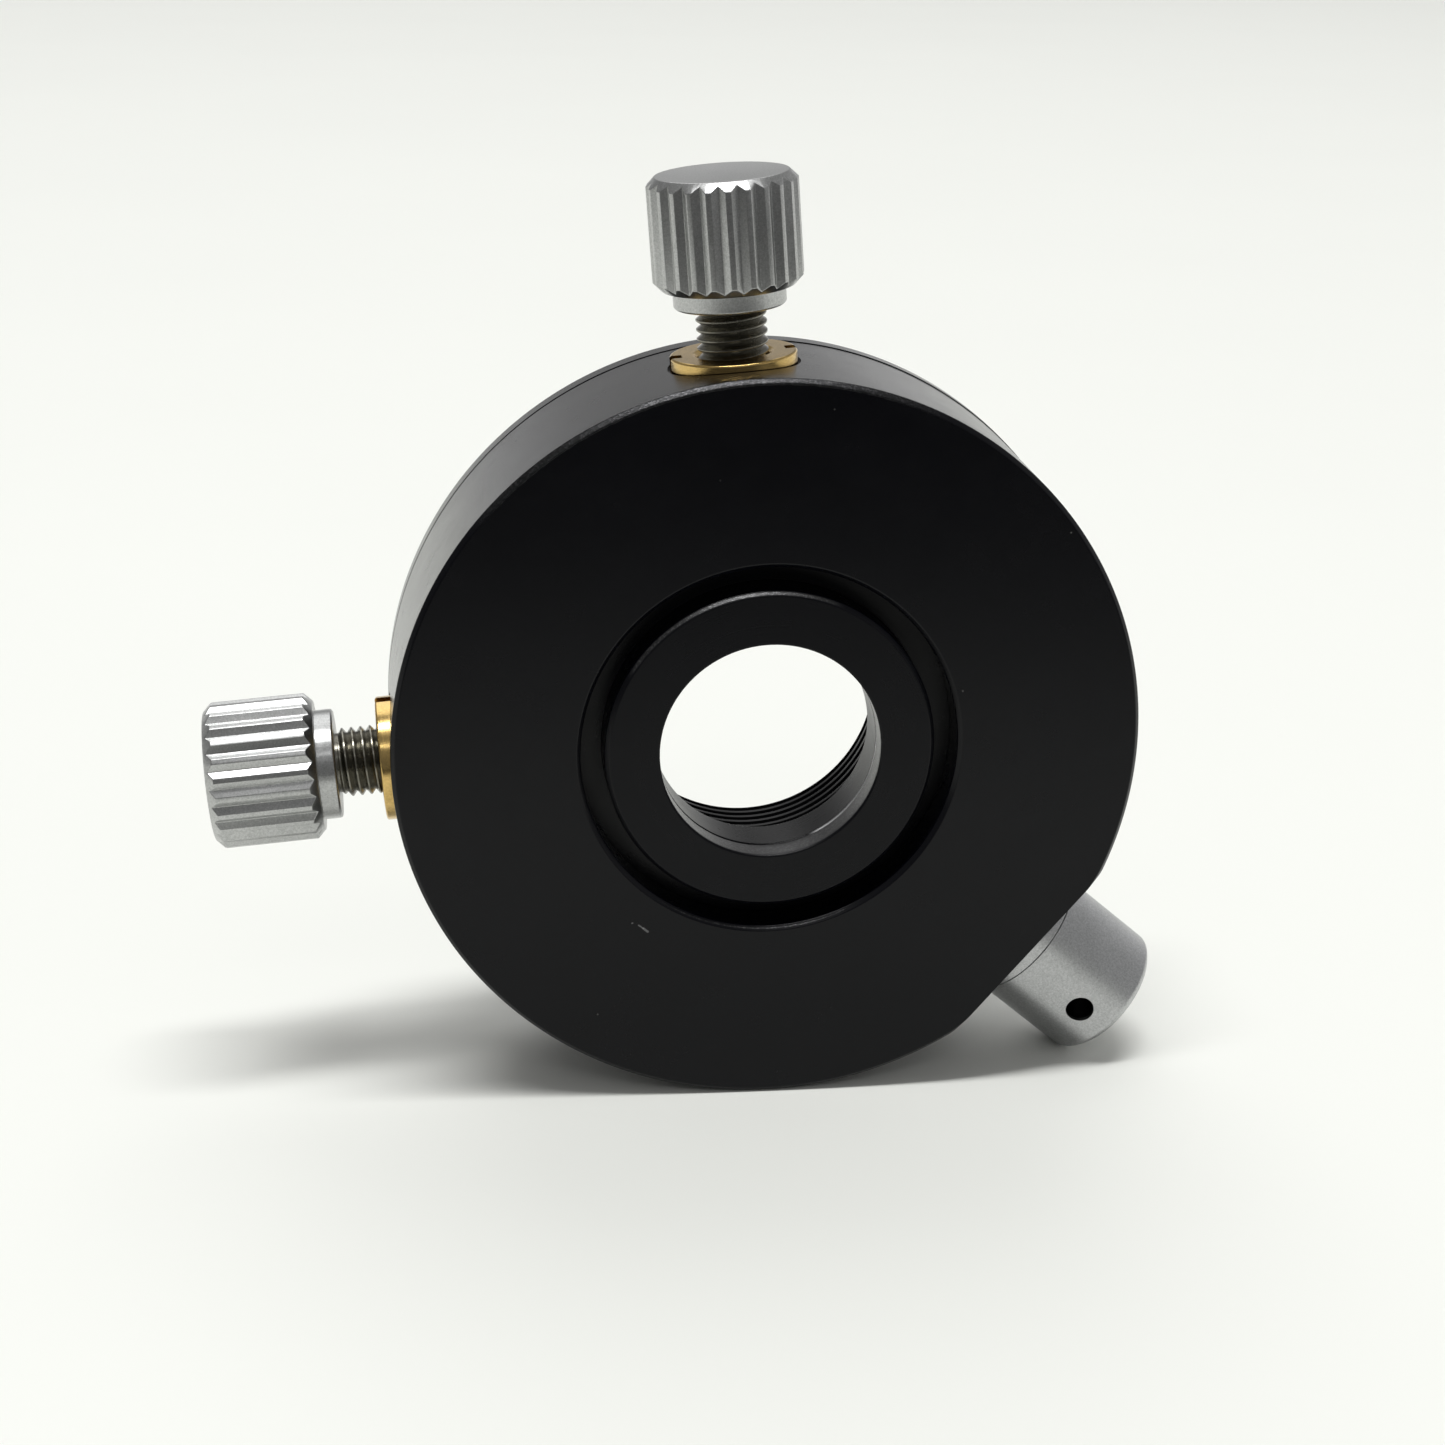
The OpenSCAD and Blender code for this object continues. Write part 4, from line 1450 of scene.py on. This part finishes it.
@dataclass
class Studio:
    """A pale floor, soft light from above and behind, and the camera."""

    floor_lean: float = 84.859
    floor_drop: float = 25.4
    floor_x: tuple[float, float] = (-2500.0, 2500.0)
    floor_y: tuple[float, float] = (-1500.0, 3500.0)
    # where, in y, glossy rays see the floor painted dark: a painted shade in reflections
    mirrored_dark: tuple[float, float] = (-170.0, -60.0)
    window_at: Triple = (0.05, 0.62, 0.783)
    camera_at: Triple = (-20.38, -173.45, 62.93)
    camera_right: Triple = (0.9898, -0.1262, -0.0658)
    camera_up: Triple = (0.1044, 0.3297, 0.9383)
    camera_ahead: Triple = (0.0968, 0.9356, -0.3395)
    lens: float = 66.5
    film: float = 36.0

    def floor(self) -> None:
        """A flat floor under the housing: points x U + y V - drop N, where N is its normal."""
        a, v = math.radians(self.floor_lean), np.array((0.0, 1.0, 0.0))
        n = np.array((math.cos(a), 0.0, math.sin(a)))
        x, y = np.meshgrid(np.linspace(*self.floor_x, 41), np.linspace(*self.floor_y, 41))
        grid = x[..., None] * np.cross(v, n) + y[..., None] * v - self.floor_drop * n
        floor = made("floor", [grid], Axes((1, 0, 0), (0, 1, 0), (0, 0, 1)))
        floor.data.materials.append(self.floor_finish())

    def floor_finish(self) -> Material:
        """A pale matt surface with faint clouding.

        Glossy rays see it painted dark well in front of the mount: a painted shade that shows only in reflections,
        standing in for the shade on the camera's side; camera rays and light see it pale.

        Returns:
            The material.
        """
        result, g = new_material("pale_floor")
        at = g.node("Mapping", {"Vector": g.node("TexCoord").outputs["Object"], "Scale": (1 / MM,) * 3}).outputs[0]
        pale = g.blend(g.noise(at, 0.012, 3.0), (0.885, 0.895, 0.850, 1), (0.865, 0.875, 0.832, 1))
        # painted shade: glossy rays see the floor dark in front of the mount
        front = g.span(g.node("SeparateXYZ", {0: at}).outputs[1], *self.mirrored_dark, 1.0, 0.0)
        painted_reflected_shade = g.times(front, g.node("LightPath").outputs["Is Glossy Ray"])
        colour = g.blend(painted_reflected_shade, pale, (0.05, 0.05, 0.05, 1))
        shader = g.node("BsdfPrincipled", {"Base Color": colour, "Roughness": 0.6, "Specular IOR Level": 0.2})
        g.node("OutputMaterial", {"Surface": shader.outputs[0]})
        return result

    def world(self) -> None:
        """A grey room, lighter low down behind the mount and on its right, darker on the camera's side, and with a
        bright round patch high up behind, where a window would be."""
        world = bpy.data.worlds.new("room")
        bpy.context.scene.world = world
        world.use_nodes = True
        g = Graph(world.node_tree)
        direction = g.node("TexCoord").outputs["Generated"]
        x, y, z = g.node("SeparateXYZ", {0: direction}).outputs
        behind, low = g.span(y, -0.3, 0.5), g.span(z, 0.0, 0.30, 1.0, 0.0)
        level = g.between(behind, g.span(z, 0.15, 0.6, 0.18, 0.25), 0.27)  # in front, and behind
        horizon = g.times(g.times(behind, low), 0.50)
        right = g.times(g.span(x, 0.35, 0.85, 0.0, 0.22), g.span(z, 0.4, 0.7, 1.0, 0.0))
        nearness = g.vector("DOT_PRODUCT", direction, self.window_at).outputs["Value"]
        window = g.span(nearness, 0.88, 0.97, 0.0, 1.5)
        for added in (horizon, right, window):
            level = g.math("ADD", level, added)
        grey = g.node("CombineColor", {0: level, 1: level, 2: level}).outputs[0]
        g.node("OutputWorld", {"Surface": g.node("Background", {"Color": grey, "Strength": 1.0}).outputs[0]})

    def light(self, name: str, at: Triple, size: tuple[float, float], turn: float, power: float) -> None:
        """A soft oval light that faces the mount.

        Args:
            name: its name.
            at: where it is, in metres.
            size: its length and width, in metres.
            turn: how far its length is turned from +X towards +Y, in degrees.
            power: its power in watts.
        """
        data = bpy.data.lights.new(name, "AREA")
        data.shape, data.size, data.size_y, data.energy = "ELLIPSE", size[0], size[1], power
        back = np.array(at) / np.linalg.norm(at)
        up = np.cross(back, (math.cos(math.radians(turn)), math.sin(math.radians(turn)), 0.0))
        up /= np.linalg.norm(up)
        placed(name, data, np.cross(up, back), up, back, at)

    def camera(self) -> None:
        """Sets the camera by its three directions and its place."""
        data = bpy.data.cameras.new("camera")
        data.lens, data.sensor_width, data.sensor_fit = self.lens, self.film, "HORIZONTAL"
        data.clip_start, data.clip_end = 0.005, 20.0
        back, at = -np.array(self.camera_ahead), np.array(self.camera_at) * MM
        bpy.context.scene.camera = placed("camera", data, self.camera_right, self.camera_up, back, at)

    def build(self) -> None:
        """Builds the floor, the room, the lights and the camera."""
        self.floor()
        self.world()
        self.light("ceiling_panel", (0.09, -0.41, 3.0), (2.45, 0.48), 12.0, 66.0)
        self.light("front_panel", (0.0, -2.2, 2.0), (1.6, 0.25), 0.0, 3.0)
        self.camera()
        bpy.context.scene.view_settings.view_transform = "Standard"
        log.info("studio: floor, room, light and camera are set")


def main() -> None:
    """Builds the mount piece by piece, then the studio."""
    for build_group in GROUP_MAKERS:
        build_group()
    adjusters = (Adjuster("x", 180.0, 7.9, face=26.1), Adjuster("z", 90.0, 4.7))
    for part in (Housing(), LensCell(), *adjusters, SpringPlunger(), Studio()):
        part.build()


if __name__ == "__main__":
    main()
